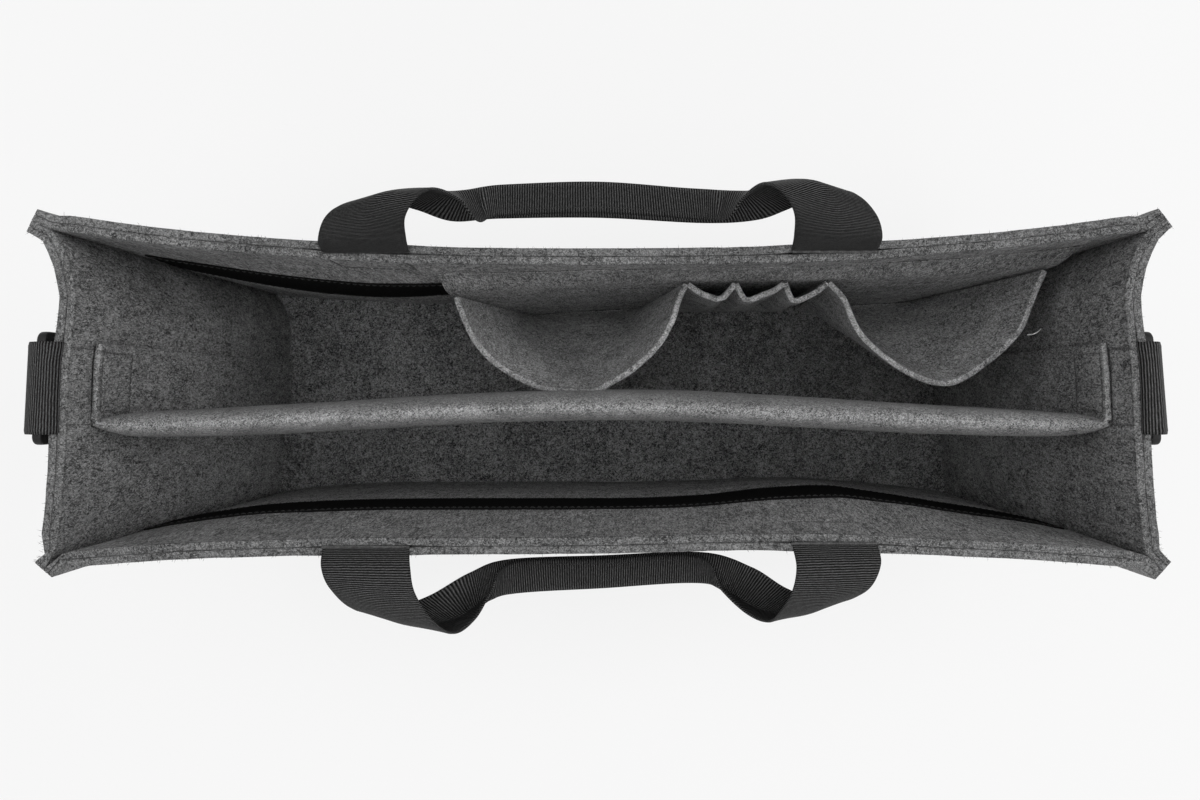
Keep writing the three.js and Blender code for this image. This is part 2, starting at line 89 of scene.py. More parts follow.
def cubic(values, at, straight_ends=False):
    """Catmull-Rom curve through values at a fractional index; past the ends it repeats or runs straight."""
    last = len(values) - 1
    k = max(0, min(int(at), last - 1))
    near = [values[max(0, min(last, k + j))] for j in (-1, 0, 1, 2)]
    if straight_ends and k == 0:
        near[0] = 2 * values[0] - values[1]
    if straight_ends and k == last - 1:
        near[3] = 2 * values[-1] - values[-2]
    return catmull(*near, at - k)


def index_in(values, x):
    """The fractional index of x in evenly spaced values, held within them."""
    return clamp((x - values[0]) / (values[-1] - values[0])) * (len(values) - 1)


def circle(count):
    """Angles evenly round a full turn."""
    return [2 * math.pi * k / count for k in range(count)]


def tube_faces(first, rings, sides):
    """Faces of a closed tube whose rings of points start at index first."""
    faces = []
    for r in range(rings - 1):
        for k in range(sides):
            a, b = first + r * sides + k, first + r * sides + (k + 1) % sides
            faces.append((a, b, b + sides, a + sides))
    last = first + (rings - 1) * sides
    return [*faces, tuple(reversed(range(first, first + sides))), tuple(range(last, last + sides))]


def wobble(p, size, seed=0.0):
    """Smooth noise from -1 to 1 with features about size metres across."""
    return noise.noise(Vector((p.x, p.y, p.z)) / size + Vector((seed, seed * 0.7, -seed)))


def link(obj):
    bpy.context.scene.collection.objects.link(obj)
    return obj


def mesh_object(name, points, faces, material, uvs=None):
    """A smooth-shaded mesh in metres; uvs holds one pair per point."""
    mesh = bpy.data.meshes.new(name)
    mesh.from_pydata([tuple(p) for p in points], [], faces)
    mesh.polygons.foreach_set("use_smooth", [True] * len(mesh.polygons))
    if uvs is not None:
        layer = mesh.uv_layers.new(name="weave")
        for loop in mesh.loops:
            layer.data[loop.index].uv = uvs[loop.vertex_index]
    mesh.materials.append(material)
    mesh.validate()
    return link(bpy.data.objects.new(name, mesh))


def place(piece, body, slot, *nodes):
    """Rides a piece on a body and hides the CAD nodes it stands for; slot is not used."""
    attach(piece, body)
    if nodes:
        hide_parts(*nodes)
    return piece


# ---------------------------------------------------------------- materials

RIM_PAINTED_SHADE = 0.36                                   # painted shade: share of its brightness that felt loses at the cut rim, which faces the lights
LOW_PAINTED_LIGHT = 1.1                                   # painted light: share that felt inside the bag gains low down, where little light reaches


class Shader:
    """A thin wrapper that adds nodes to one material and links them."""

    def __init__(self, name):
        self.material = bpy.data.materials.new(name)
        self.material.use_nodes = True
        self.tree = self.material.node_tree
        self.bsdf = self.tree.nodes["Principled BSDF"]
        self.coords = self.tree.nodes.new("ShaderNodeTexCoord")
        self.place = self.coords.outputs["Object"]

    def add(self, kind, inputs=None, **settings):
        node = self.tree.nodes.new(kind)
        for key, value in settings.items():
            setattr(node, key, value)
        for key, value in (inputs or {}).items():
            self.give(node.inputs[key], value)
        return node

    def give(self, socket, value):
        """Links an output to a socket, or sets a plain value on it."""
        if isinstance(value, bpy.types.NodeSocket):
            self.tree.links.new(value, socket)
        else:
            socket.default_value = value

    def noise(self, scale, detail=2.0, rough=0.5, distortion=0.0, shift=0.0):
        offset = (shift, shift * 1.7, -shift)
        moved = self.add("ShaderNodeVectorMath", {0: self.place, 1: offset}, operation="ADD")
        inputs = {"Vector": moved.outputs[0], "Scale": scale, "Detail": detail, "Roughness": rough,
                  "Distortion": distortion}
        return self.add("ShaderNodeTexNoise", inputs).outputs["Fac"]

    def math(self, operation, a, b=0.0, clamped=False):
        return self.add("ShaderNodeMath", {0: a, 1: b}, operation=operation, use_clamp=clamped).outputs[0]

    def ramp(self, value, stops):
        node = self.add("ShaderNodeValToRGB", {"Fac": value})
        ramp = node.color_ramp
        while len(ramp.elements) < len(stops):
            ramp.elements.new(0.5)
        for element, (at, grey) in zip(ramp.elements, stops):
            element.position = at
            element.color = (grey, grey, grey, 1)
        return node.outputs["Color"]

    def ridges(self, scale, width, shift, distortion=1.2):
        """Thin wandering lines, 1 on a line and 0 off it."""
        field = self.noise(scale, 1.5, 0.5, distortion, shift)
        away = self.math("ABSOLUTE", self.math("SUBTRACT", field, 0.5))
        return self.math("SUBTRACT", 1.0, self.math("DIVIDE", away, width), True)

    def tint(self, fac, a, b):
        node = self.add("ShaderNodeMix", data_type="RGBA")
        for name, kind, value in (("Factor", "VALUE", fac), ("A", "RGBA", a), ("B", "RGBA", b)):
            self.give(next(s for s in node.inputs if s.name == name and s.type == kind), value)
        return next(s for s in node.outputs if s.type == "RGBA")

    def bump(self, height, distance, strength=1.0, below=None):
        inputs = {"Height": height, "Distance": distance, "Strength": strength}
        if below is not None:
            inputs["Normal"] = below
        return self.add("ShaderNodeBump", inputs).outputs["Normal"]

    def finish(self, colour, roughness, normal=None, sheen=0.0, specular=0.3):
        values = {"Base Color": colour, "Roughness": roughness, "Sheen Weight": sheen,
                  "Sheen Roughness": 0.42, "Specular IOR Level": specular}
        if normal is not None:
            values["Normal"] = normal
        for name, value in values.items():
            self.give(self.bsdf.inputs[name], value)
        return self.material


def grey(level):
    return (level * 0.985, level, level * 1.02, 1)


def felt_material(name, level, size=1.0, contrast=1.0, low_painted_light=LOW_PAINTED_LIGHT, combed=1.0):
    """Charcoal melange felt: matted dark and light fibres over a mottled mid grey.
    It has painted shade along the cut rim of the bag, which faces the lights, and inside the bag painted
    light makes it lighter low down.
    The fibres are combed along the bag's height, longer the smaller combed is."""
    s = Shader(name)
    mottle = s.noise(45, 2, 0.6, 0.3)
    stretch = {0: s.place, 1: (1.0, 1.0, combed)}
    s.place = s.add("ShaderNodeVectorMath", stretch, operation="MULTIPLY").outputs[0]
    clumps = s.noise(640 / size, 2, 0.65, 1.4, 1.9)
    grain = s.noise(1500 / size, 2, 0.7, 0.6, 3.1)
    tone = s.math("ADD", s.math("MULTIPLY", mottle, 0.14), s.math("MULTIPLY", clumps, 0.46))
    tone = s.math("ADD", tone, s.math("MULTIPLY", grain, 0.4))
    low, high = 0.5 - 0.12 / contrast, 0.5 + 0.12 / contrast
    base = s.ramp(tone, [(low, level * 0.2), (0.5, level * 0.95), (high, level * 2.0)])
    dark = s.math("MULTIPLY", s.ridges(360 / size, 0.055, 5.3), s.noise(150, 2, 0.5, 0, 8.8))
    darker = s.tint(s.math("MULTIPLY", dark, 1.6, True), base, grey(level * 0.1))
    light = s.math("MULTIPLY", s.ridges(430 / size, 0.035, 11.7), s.noise(170, 2, 0.5, 0, 2.2))
    melange = s.tint(s.math("MULTIPLY", light, 0.9, True), darker, grey(level * 2.3))
    height = s.add("ShaderNodeSeparateXYZ", {0: s.coords.outputs["Object"]}).outputs[2]
    # painted shade on the cut rim and painted light low inside the bag, scaling the felt's colour
    rim = s.math("DIVIDE", s.math("SUBTRACT", height, RIM - 1.8 * MM), 1.2 * MM, True)
    depth = s.math("DIVIDE", s.math("SUBTRACT", RIM - 40 * MM, height), 190 * MM, True)
    painted_light_scale = s.math("ADD", s.math("SUBTRACT", 1.0, s.math("MULTIPLY", rim, RIM_PAINTED_SHADE)),
                  s.math("MULTIPLY", depth, low_painted_light))
    colour = s.add("ShaderNodeVectorMath", {0: melange, "Scale": painted_light_scale}, operation="SCALE").outputs[0]
    fuzz = s.math("ADD", s.math("MULTIPLY", clumps, 0.5), s.math("MULTIPLY", grain, 0.5))
    fuzz = s.math("ADD", fuzz, s.math("MULTIPLY", s.math("SUBTRACT", light, dark), 0.4))
    normal = s.bump(fuzz, 0.0007, 0.4)
    return s.finish(colour, 0.97, normal, sheen=0.05, specular=0.06)


def webbing_material(name, level):
    """Ribbed polypropylene webbing: ribs run across the strap, warp ends along it. Its colour carries
    painted shade in the grooves and painted highlights on the rib crests.
    """
    s = Shader(name)
    split = s.add("ShaderNodeSeparateXYZ", {0: s.coords.outputs["UV"]})
    across, along = split.outputs[0], split.outputs[1]
    rib_pitch, warp_pitch = 1.1 * MM, 1.7 * MM
    jitter = s.math("MULTIPLY", s.noise(160, 2, 0.5), 1.6)
    rib = s.math("SINE", s.math("ADD", s.math("MULTIPLY", along, 2 * math.pi / rib_pitch), jitter))
    warp = s.math("SINE", s.math("MULTIPLY", across, 2 * math.pi / warp_pitch))
    twill = s.math("SINE", s.math("MULTIPLY", s.math("ADD", across, along), 2 * math.pi / (1.3 * MM)))
    weave = s.math("MULTIPLY", s.math("MULTIPLY", warp, twill), 0.25)
    knit = s.math("ADD", s.math("MULTIPLY", rib, 0.75), weave)
    crest = s.math("ADD", s.math("MULTIPLY", knit, 0.5), 0.5)
    worn = s.noise(1100, 2, 0.6, 0, 4.0)
    lint = s.math("MULTIPLY", s.ridges(420, 0.02, 14.0), s.noise(60, 2, 0.5, 0, 3.3))
    # painted highlight on the rib crests and painted shade in the grooves, varied by wear
    lit = s.math("MULTIPLY", crest, s.math("ADD", worn, 0.5))
    base = s.ramp(lit, [(0.15, level * 0.3), (0.5, level * 1.1), (0.95, level * 3.4)])
    colour = s.tint(s.math("MULTIPLY", lint, 0.35, True), base, grey(level * 6))
    normal = s.bump(knit, 0.0003, 0.9)
    normal = s.bump(worn, 0.0002, 0.3, normal)
    rough = s.math("ADD", 0.42, s.math("MULTIPLY", worn, 0.2))
    shine = s.math("MULTIPLY", s.math("POWER", s.math("MAXIMUM", lit, 0.0), 2.0), 0.42)
    return s.finish(colour, rough, normal, specular=shine)


def tape_material(name, level):
    """Loop tape: a dense matt pile of fine loops."""
    s = Shader(name)
    pile = s.noise(1500, 3, 0.7, 0.6)
    lint = s.ridges(300, 0.012, 9.1)
    base = s.ramp(pile, [(0.35, level * 0.5), (0.65, level * 1.6)])
    colour = s.tint(s.math("MULTIPLY", lint, 0.25), base, grey(level * 6))
    return s.finish(colour, 0.95, s.bump(pile, 0.0006, 0.8), specular=0.03)


def plastic_material(name, level):
    """Moulded acetal: satin black with a faint grain and handling marks."""
    s = Shader(name)
    grain = s.noise(2200, 2, 0.6)
    marks = s.noise(120, 3, 0.6, 0.5, 6.0)
    colour = s.ramp(marks, [(0.3, level * 0.8), (0.7, level * 1.5)])
    rough = s.math("ADD", 0.42, s.math("MULTIPLY", marks, 0.2))
    return s.finish(colour, rough, s.bump(grain, 0.00008, 0.5), specular=0.22)


def thread_material(name, level):
    """Twisted sewing thread."""
    s = Shader(name)
    twist = s.noise(2600, 2, 0.5, 2.0)
    return s.finish(s.ramp(twist, [(0.35, level * 0.6), (0.65, level * 1.5)]), 0.6,
                    s.bump(twist, 0.0002, 0.6), sheen=0.2, specular=0.3)


def board_material(name, level):
    """Grey stiffening board with pressed fibres."""
    s = Shader(name)
    fibre = s.noise(500, 4, 0.6, 1.0)
    colour = s.ramp(fibre, [(0.3, level * 0.8), (0.7, level * 1.2)])
    return s.finish(colour, 0.9, s.bump(fibre, 0.0003, 0.5))


def floor_material():
    s = Shader("pale_floor")
    grain = s.noise(3, 2, 0.5)
    s.bsdf.inputs["Emission Color"].default_value = (0.97, 0.97, 0.97, 1)
    s.bsdf.inputs["Emission Strength"].default_value = 0.78
    return s.finish(s.ramp(grain, [(0.0, 0.13), (1.0, 0.135)]), 0.9, specular=0.0)


FELT = felt_material("felt_inside", 0.165, contrast=1.15, combed=0.42)
FELT_WALL = felt_material("felt_long_walls", 0.165, contrast=1.2, combed=0.28)
FELT_OUT = felt_material("felt_outside", 0.175, low_painted_light=0.0)
FELT_BASE = felt_material("felt_base", 0.094, size=1.35, contrast=1.5)
FELT_POCKET = felt_material("felt_pockets", 0.2, combed=0.5)
FELT_DIVIDER = felt_material("felt_divider", 0.185, size=0.8)
FUZZ = felt_material("loose_fibres", 0.16)
WEBBING = webbing_material("ribbed_webbing", 0.018)
TAPE = tape_material("loop_tape", 0.006)
PLASTIC = plastic_material("moulded_plastic", 0.012)
# the stitches are real thread; their dark grey is partly painted shade, standing in for the shade in the
# creases beside the seams
THREAD = thread_material("thread_with_painted_seam_shade", 0.05)
THREAD_BLACK = thread_material("black_thread", 0.012)
THREAD_PALE = thread_material("pale_thread", 0.75)
BOARD = board_material("stiffening_board", 0.2)


# ---------------------------------------------------------------- felt sheets

EDGE_ROUND = 1.0 * MM                             # how far in from a cut edge the felt is rounded
EDGE_THIN = 0.84                                  # thickness left at the cut edge
EDGE_STEPS = (0.0, 0.22, 0.6, 1.0)                # grid lines over the rounding
NAP, NAP_SIZE = 0.16 * MM, 6 * MM                 # roughness of a felt face
FRAY, FRAY_SIZE = 0.12 * MM, 4 * MM               # and of its cut edge, over the last 2 mm
RIPPLE_SIZE = 45 * MM


def samples(length, spacing, extra=()):
    """Positions along a side in metres: even, closer at both ends, and at any extra places."""
    ends = [EDGE_ROUND * s for s in EDGE_STEPS]
    count = max(3, round((length - 4 * EDGE_ROUND) / spacing))
    even = spread(2 * EDGE_ROUND, length - 2 * EDGE_ROUND, count)
    every = sorted([*ends, *even, *(length - e for e in ends), *extra])
    kept = [every[0]]
    for s in every[1:]:
        if s - kept[-1] > 0.12 * MM:
            kept.append(s)
    return kept


def edge_taper(distance):
    t = clamp(distance / EDGE_ROUND)
    return EDGE_THIN + (1 - EDGE_THIN) * math.sqrt(1 - (1 - t) ** 2)


def felt_sheet(name, surface, size, thick, material, spacing=7 * MM, extra=((), ()), dent=None, ripple=0.3,
               seed=0.0, press_at=None):
    """A closed felt sheet. surface(u, v), in metres along both sides, gives the middle point and normal.

    extra adds grid lines, dent(u, v) is how far stitching pulls both faces in, and press_at(u) thins the
    sheet towards its ends, where the cut edge isn't rounded."""
    us = samples(size[0], spacing, extra[0])
    vs = samples(size[1], spacing, extra[1])
    points = []
    for face in (1, -1):
        for v in vs:
            for u in us:
                p, n = surface(u, v)
                near_rim = min(v, size[1] - v)
                near_edge = min(u, size[0] - u, near_rim)
                rounded = edge_taper(near_rim) * press_at(u) if press_at else edge_taper(near_edge)
                half = thick / 2 * rounded
                sway = ripple * MM * wobble(p, RIPPLE_SIZE, seed) * clamp(near_edge / (8 * MM))
                nap = NAP * wobble(p, NAP_SIZE, seed + 3.0 * face)
                cut = FRAY * wobble(p, FRAY_SIZE, seed + 9.0) * (1 - clamp(near_edge / (2 * MM)))
                press = dent(u, v) if dent else 0.0
                points.append(p + n * (face * (half + nap + cut - press) + sway))
    return mesh_object(name, points, slab_faces(len(us), len(vs)), material)


def slab_faces(columns, rows):
    """Faces of a closed slab whose two grids of points follow each other."""
    other = columns * rows
    faces = []
    for r in range(rows - 1):
        for c in range(columns - 1):
            a = r * columns + c
            faces.append((a, a + 1, a + columns + 1, a + columns))
            faces.append((other + a, other + a + columns, other + a + columns + 1, other + a + 1))
    for c in range(columns - 1):
        a, b = c, (rows - 1) * columns + c
        faces.append((a, other + a, other + a + 1, a + 1))
        faces.append((b, b + 1, other + b + 1, other + b))
    for r in range(rows - 1):
        a, b = r * columns, r * columns + columns - 1
        faces.append((a, a + columns, other + a + columns, other + a))
        faces.append((b, other + b, other + b + columns, b + columns))
    return faces


def with_normal(point_at):
    """Turns a point function into one that also gives the normal, by small differences."""
    step = 0.5 * MM

    def surface(u, v):
        p = point_at(u, v)
        along = point_at(u + step, v) - point_at(u - step, v)
        up = point_at(u, v + step) - point_at(u, v - step)
        return p, along.cross(up).normalized()
    return surface


class Path:
    """A smooth open path through points, read by length in metres and extended straight at the ends."""

    def __init__(self, points, fine=8):
        ghost = [2 * points[0] - points[1], *points, 2 * points[-1] - points[-2]]
        self.points = [points[0]]
        for i in range(1, len(ghost) - 2):
            for k in range(1, fine + 1):
                self.points.append(catmull(ghost[i - 1], ghost[i], ghost[i + 1], ghost[i + 2], k / fine))
        self.at = [0.0]
        for a, b in zip(self.points, self.points[1:]):
            self.at.append(self.at[-1] + (b - a).length)
        self.length = self.at[-1]

    def point(self, s):
        if s <= 0:
            return self.points[0] + (self.points[0] - self.points[1]).normalized() * -s
        if s >= self.length:
            return self.points[-1] + (self.points[-1] - self.points[-2]).normalized() * (s - self.length)
        low, high = 0, len(self.at) - 1
        while high - low > 1:
            middle = (low + high) // 2
            low, high = (middle, high) if self.at[middle] <= s else (low, middle)
        t = (s - self.at[low]) / (self.at[high] - self.at[low])
        return self.points[low].lerp(self.points[high], t)


# ---------------------------------------------------------------- reading the CAD walls

def tree_of(node):
    mesh = bpy.data.objects[node].data
    return BVHTree.FromPolygons([v.co for v in mesh.vertices], [p.vertices for p in mesh.polygons])


# Cut end of each corner's seam allowance, in plan: the long wall's corner, then the gusset's.
EARS = {
    (-1, 1): ((-255.5, 81.4), (-260.5, 71.0)),
    (1, 1): ((253.6, 81.6), (260.0, 73.2)),
    (-1, -1): ((-249.0, -85.9), (-256.8, -79.2)),
    (1, -1): ((252.0, -87.0), (259.4, -78.8)),
}
EAR_REACH = 16 * MM                               # how far in from the end the layers are pressed together
FLANGE = 8 * MM                                   # how far the four layers run side by side


def ear_point(side, toward, share, z, inwards=0.0):
    """A point across the cut end of a corner seam, from the long wall's corner (0) to the gusset's (1)."""
    a, b = EARS[side, toward]
    into = Vector((a[1] - b[1], b[0] - a[0], 0)).normalized()
    into *= -1 if into.x * side > 0 else 1
    return Vector((mix(a[0], b[0], share) * MM, mix(a[1], b[1], share) * MM, z)) + into * inwards


def ear_width(side, toward):
    return math.dist(*EARS[side, toward]) * MM


SAG = 5.5 * MM                                    # how far the back wall's felt falls inwards
SAG_HEIGHTS = (185 * MM, 262 * MM)                # where the sag is deepest, and where it ends
SAG_X, SAG_SPREAD = -165 * MM, 70 * MM


class LongWall:
    """Middle surface of a long wall: where its two felt layers meet."""

    def __init__(self, side, toward):
        self.toward = toward                       # +1 for the back wall, -1 for the front
        self.outwards = Vector((0, toward, 0))
        self.ear_widths = [ear_width(end, toward) for end in (-1, 1)]
        inner, outer = tree_of(f"{side}_inner_panel"), tree_of(f"{side}_outer_panel")
        self.corner = 244.5 * MM
        self.xs = spread(-self.corner, self.corner, 25)
        self.zs = spread(1 * MM, RIM - 1 * MM, 13)
        far = self.outwards
        hit_in = inner.ray_cast(Vector((0, 0, RIM - MM)), far)[0]
        hit_out = outer.ray_cast(Vector((0, toward * 0.2, RIM - MM)), -far)[0]
        self.wall = abs(hit_out.y - hit_in.y)

        def middle(x, z):
            inside = inner.ray_cast(Vector((x, 0, z)), far)[0].y
            return inside + toward * (self.wall / 2 - self.sag(x, z))
        self.table = [[middle(x, z) for x in self.xs] for z in self.zs]

    def sag(self, x, z):
        """How far the felt falls inwards below the loop tape, towards the left of the back wall."""
        low, high = SAG_HEIGHTS
        deepest = SAG * (self.toward > 0) * hump(x, SAG_X, SAG_SPREAD)
        return deepest * smooth(0, low, z) * (1 - smooth(low, high, z))

    def middle_y(self, x, z):
        across = index_in(self.xs, x)
        return cubic([cubic(row, across) for row in self.table], index_in(self.zs, z))

    def path(self, z):
        left, right = ([ear_point(side, self.toward, 0.25, z, inwards) for inwards in (0, FLANGE)]
                       for side in (-1, 1))
        main = [Vector((x, self.middle_y(x, z), z)) for x in spread(-self.corner, self.corner, 49)]
        return Path([*left, *main, *reversed(right)], 3)


class Gusset:
    """Middle surface of an end gusset."""

    def __init__(self, name, side):
        self.side = side
        inner, outer = tree_of(f"{name}_inner_gusset"), tree_of(f"{name}_outer_gusset")
        self.outwards = out = Vector((side, 0, 0))
        self.ear_widths = [ear_width(side, end) for end in (-1, 1)]
        level = RIM / 2
        hit_in = inner.ray_cast(Vector((0, 0, level)), out)[0]
        hit_out = outer.ray_cast(Vector((side * 0.4, 0, level)), -out)[0]
        self.wall = abs(hit_out.x - hit_in.x)
        self.ys = spread(-72 * MM, 66 * MM, 24)
        self.xs = [inner.ray_cast(Vector((0, y, level)), out)[0].x + side * self.wall / 2 for y in self.ys]

    def middle_x(self, y):
        i = index_in(self.ys, y)
        k = min(int(i), len(self.ys) - 2)
        return mix(self.xs[k], self.xs[k + 1], i - k)

    def path(self, z):
        sag = 1.2 * MM * math.sin(math.pi * clamp(z / RIM))
        last = len(self.ys) - 1
        main = [Vector((x - self.side * sag * math.sin(math.pi * i / last), y, z))
                for i, (x, y) in enumerate(zip(self.xs, self.ys))]
        front, back = ([ear_point(self.side, toward, 0.75, z, inwards) for inwards in (0, FLANGE)]
                       for toward in (-1, 1))
        return Path([*front, *main, *reversed(back)], 4)


def wall_surface(wall, flip):
    """A surface over path length and height; the normal points into the bag."""
    levels = spread(0, RIM, 31)
    paths = [wall.path(z) for z in levels]
    length = max(path.length for path in paths)

    def point_at(u, v):
        z = clamp(v / RIM) * (len(levels) - 1)
        i = min(int(z), len(levels) - 2)
        a = paths[i].point(u / length * paths[i].length)
        b = paths[i + 1].point(u / length * paths[i + 1].length)
        p = a.lerp(b, z - i)
        p.z = v
        return p

    base = with_normal(point_at)

    def surface(u, v):
        p, n = base(u, v)
        return p, n * flip
    return surface, length


# ---------------------------------------------------------------- sewing

def stitch_line(name, places, material, pitch=3.4 * MM, radius=0.32 * MM, arch=0.45 * MM):
    """Separate thread stitches along places, a list of (point, normal) close together."""
    points, faces = [], []
    lengths = [0.0]
    for (a, _), (b, _) in zip(places, places[1:]):
        lengths.append(lengths[-1] + (b - a).length)

    def at(s):
        s = clamp(s, 0.0, lengths[-1])
        i = next((k for k in range(1, len(lengths)) if lengths[k] >= s), len(lengths) - 1)
        span = max(lengths[i] - lengths[i - 1], 1e-9)
        t = (s - lengths[i - 1]) / span
        return places[i - 1][0].lerp(places[i][0], t), places[i - 1][1].lerp(places[i][1], t).normalized()

    count = max(1, int(lengths[-1] / pitch))
    sides, rings = 6, 5
    for k in range(count):
        start = (k + 0.1) * lengths[-1] / count
        end = (k + 0.9) * lengths[-1] / count
        first = len(points)
        for j in range(rings):
            t = j / (rings - 1)
            s = mix(start, end, t)
            p, n = at(s)
            ahead = (at(s + 0.3 * MM)[0] - at(s - 0.3 * MM)[0]).normalized()
            across = ahead.cross(n).normalized()
            centre = p + n * (arch * math.sin(math.pi * t) - 0.15 * MM)
            thin = radius * (0.55 + 0.45 * math.sin(math.pi * t))
            for a in circle(sides):
                points.append(centre + across * (thin * math.cos(a)) + n * (thin * math.sin(a)))
        faces += tube_faces(first, rings, sides)
    return mesh_object(name, points, faces, material)


def spikes(name, roots, chance, length=1.7 * MM, radius=0.085 * MM):
    """Loose fibre ends, each a thin closed spike. roots lists (point, direction)."""
    points, faces = [], []
    for p, d in roots:
        reach = length * chance.uniform(0.35, 1.0)
        lean = Vector([chance.uniform(-1, 1) for _ in range(3)]) * 0.5
        side = d.orthogonal().normalized()
        other = d.cross(side)
        first = len(points)
        for along, bend, thin in ((-0.15, 0.0, 1.0), (0.5, 0.35, 0.75)):
            centre = p + (d * along + lean * bend) * reach
            for a in circle(3):
                points.append(centre + (side * math.cos(a) + other * math.sin(a)) * radius * thin)
        points.append(p + (d * 0.85 + lean) * reach)
        for k in range(3):
            a, b = first + k, first + (k + 1) % 3
            faces.append((a, b, b + 3, a + 3))
            faces.append((a + 3, b + 3, first + 6))
        faces.append((first + 2, first + 1, first))
    return mesh_object(name, points, faces, FUZZ)


def rim_fuzz(name, surface, size, thick, body, slot, seed, per_mm=2.4):
    """Fibres along the upper cut edge of a felt sheet."""
    chance = random.Random(seed)
    roots = []
    for _ in range(int(size[0] / MM * per_mm)):
        u = chance.uniform(0.3 * MM, size[0] - 0.3 * MM)
        p, n = surface(u, size[1])
        up = (p - surface(u, size[1] - MM)[0]).normalized()
        aside = chance.uniform(-0.5, 0.5)
        splay = 2.6 * aside + chance.uniform(-0.4, 0.4)
        roots.append((p + n * (aside * thick * 0.92), (up + n * splay).normalized()))
    place(spikes(name, roots, chance), body, slot)


def on_surface(surface, corners, lift, step=2 * MM):
    """Places every step metres along straight 2-D runs, lifted off a surface."""
    run = []
    for a, b in zip(corners, corners[1:]):
        count = max(2, int(math.dist(a, b) / step))
        run += [(mix(a[0], b[0], i / count), mix(a[1], b[1], i / count)) for i in range(count)]
    return [(p + n * lift, n) for p, n in (surface(u, v) for u, v in (*run, corners[-1]))]


def sew(name, surface, corners, thick, body, slot, step=2 * MM):
    """Stitches along a 2-D run on the face of a sheet towards its normal."""
    run = on_surface(surface, corners, thick / 2 - SUNK, step)
    place(stitch_line(name, run, THREAD, arch=FLAT_ARCH), body, slot)


def line_dent(lines, depth=0.55 * MM, width=1.0 * MM):
    """How far stitching pulls felt in: lines are straight runs ((u0, v0), (u1, v1)) along u or v."""
    def dent(u, v):
        most = 0.0
        for (u0, v0), (u1, v1) in lines:
            du = max(min(u0, u1) - u, 0, u - max(u0, u1))
            dv = max(min(v0, v1) - v, 0, v - max(v0, v1))
            most = max(most, math.exp(-((du * du + dv * dv) / width ** 2)))
        return depth * most
    return dent


def around(values):
    """Grid lines close on both sides of each value."""
    return [v + d * MM for v in values for d in (-2.0, -1.1, -0.5, 0, 0.5, 1.1, 2.0)]


# ---------------------------------------------------------------- walls

BOX_DEPTH = 26 * MM                               # height of the stitched box over a strap end
LOOP_BOX_DEPTH = 22 * MM                          # and over the end of a ring's loop
BOX_TOP = 2 * MM                                  # how far below the rim a box ends
BULGE = 0.35 * MM                                 # how far the webbing between the layers pushes them apart


def strap_boxes(side, length):
    """Stitched boxes over the sewn-in strap ends, in wall coordinates: (u low, u high, v low, v high)."""
    boxes = []
    for word in ("left", "right"):
        low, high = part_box(f"{side}_{word}_strap_anchor")
        u0, u1 = low.x + length / 2 + 2 * MM, high.x + length / 2 - 2 * MM
        boxes.append((u0, u1, RIM - BOX_DEPTH, RIM - BOX_TOP))
    return boxes


def ear_press(length, full, widths):
    """How far the felt is pressed towards both ends of a wall, as a share of its full thickness."""
    def press(u):
        share = 1.0
        for width, away in zip(widths, (u, length - u)):
            share = min(share, mix(width / 2 / full, 1, smooth(2 * MM, EAR_REACH, away)))
        return share
    return press


def box_lines(box):
    u0, u1, v0, v1 = box
    return [((u0, v0), (u1, v0)), ((u0, v0), (u0, v1)), ((u1, v0), (u1, v1))]


def build_layers(wall, surface, boxes, margin, inside, names, ripple, seed, fuzz_seed):
    """The two felt layers of a wall, pushed apart at the boxes by the webbing sewn in between them.

    The bulge fades over margin beside a box. inside is the inner layer's felt. names holds the names of
    the felt, its CAD node, its loose fibres and its stitched boxes, with gaps for the layer and the box."""
    surface_at, length = surface
    size = (length, RIM)
    wall.length, wall.thick = length, wall.wall / 2 - LAYER_GAP / 2
    extra = (around([u for box in boxes for u in box[:2]]), around([boxes[0][2]]))
    dent = line_dent([line for box in boxes for line in box_lines(box)])
    _, normal = surface_at(length / 2, RIM / 2)
    flip = 1 if normal.dot(wall.outwards) < 0 else -1
    press = ear_press(length, wall.wall, wall.ear_widths)

    def layer(way):
        def face(u, v):
            p, n = surface_at(u, v)
            apart = 0.0
            for u0, u1, v0, _ in boxes:
                beside = max(u0 - u, u - u1, 0)
                apart = max(apart, smooth(v0 - 12 * MM, RIM, v) * (1 - smooth(0, margin, beside)))
            offset = (LAYER_GAP / 2 + wall.thick / 2) * press(u) + BULGE * apart
            return p + n * (flip * way * offset), n * (flip * way)
        return face

    felt, node, fuzz, sewn = names
    for way, word, material in ((1, "inner", inside), (-1, "outer", FELT_OUT)):
        face = layer(way)
        piece = felt_sheet(felt.format(word), face, size, wall.thick, material, extra=extra, dent=dent,
                           ripple=ripple, seed=seed + way, press_at=press)
        place(piece, "bag", f"felt_{word}", node.format(word))
        rim_fuzz(fuzz.format(word), face, size, wall.thick, "bag", f"felt_{word}", fuzz_seed + way)
        for k, (u0, u1, v0, v1) in enumerate(boxes):
            corners = [(u0, v1), (u0, v0), (u1, v0), (u1, v1)]
            sew(sewn.format(word, k), face, corners, wall.thick, "bag", f"felt_{word}")
    wall.inner_face, wall.outer_face = layer(1), layer(-1)
    return wall


def build_long_wall(side, toward):
    wall = LongWall(side, toward)
    surface = wall_surface(wall, toward)
    names = (side + "_wall_{}_felt", side + "_{}_panel", side + "_wall_{}_fuzz", side + "_{}_strap_box_{}")
    return build_layers(wall, surface, strap_boxes(side, surface[1]), 14 * MM, FELT_WALL, names,
                        0.5, toward * 2.0, 11 * toward)


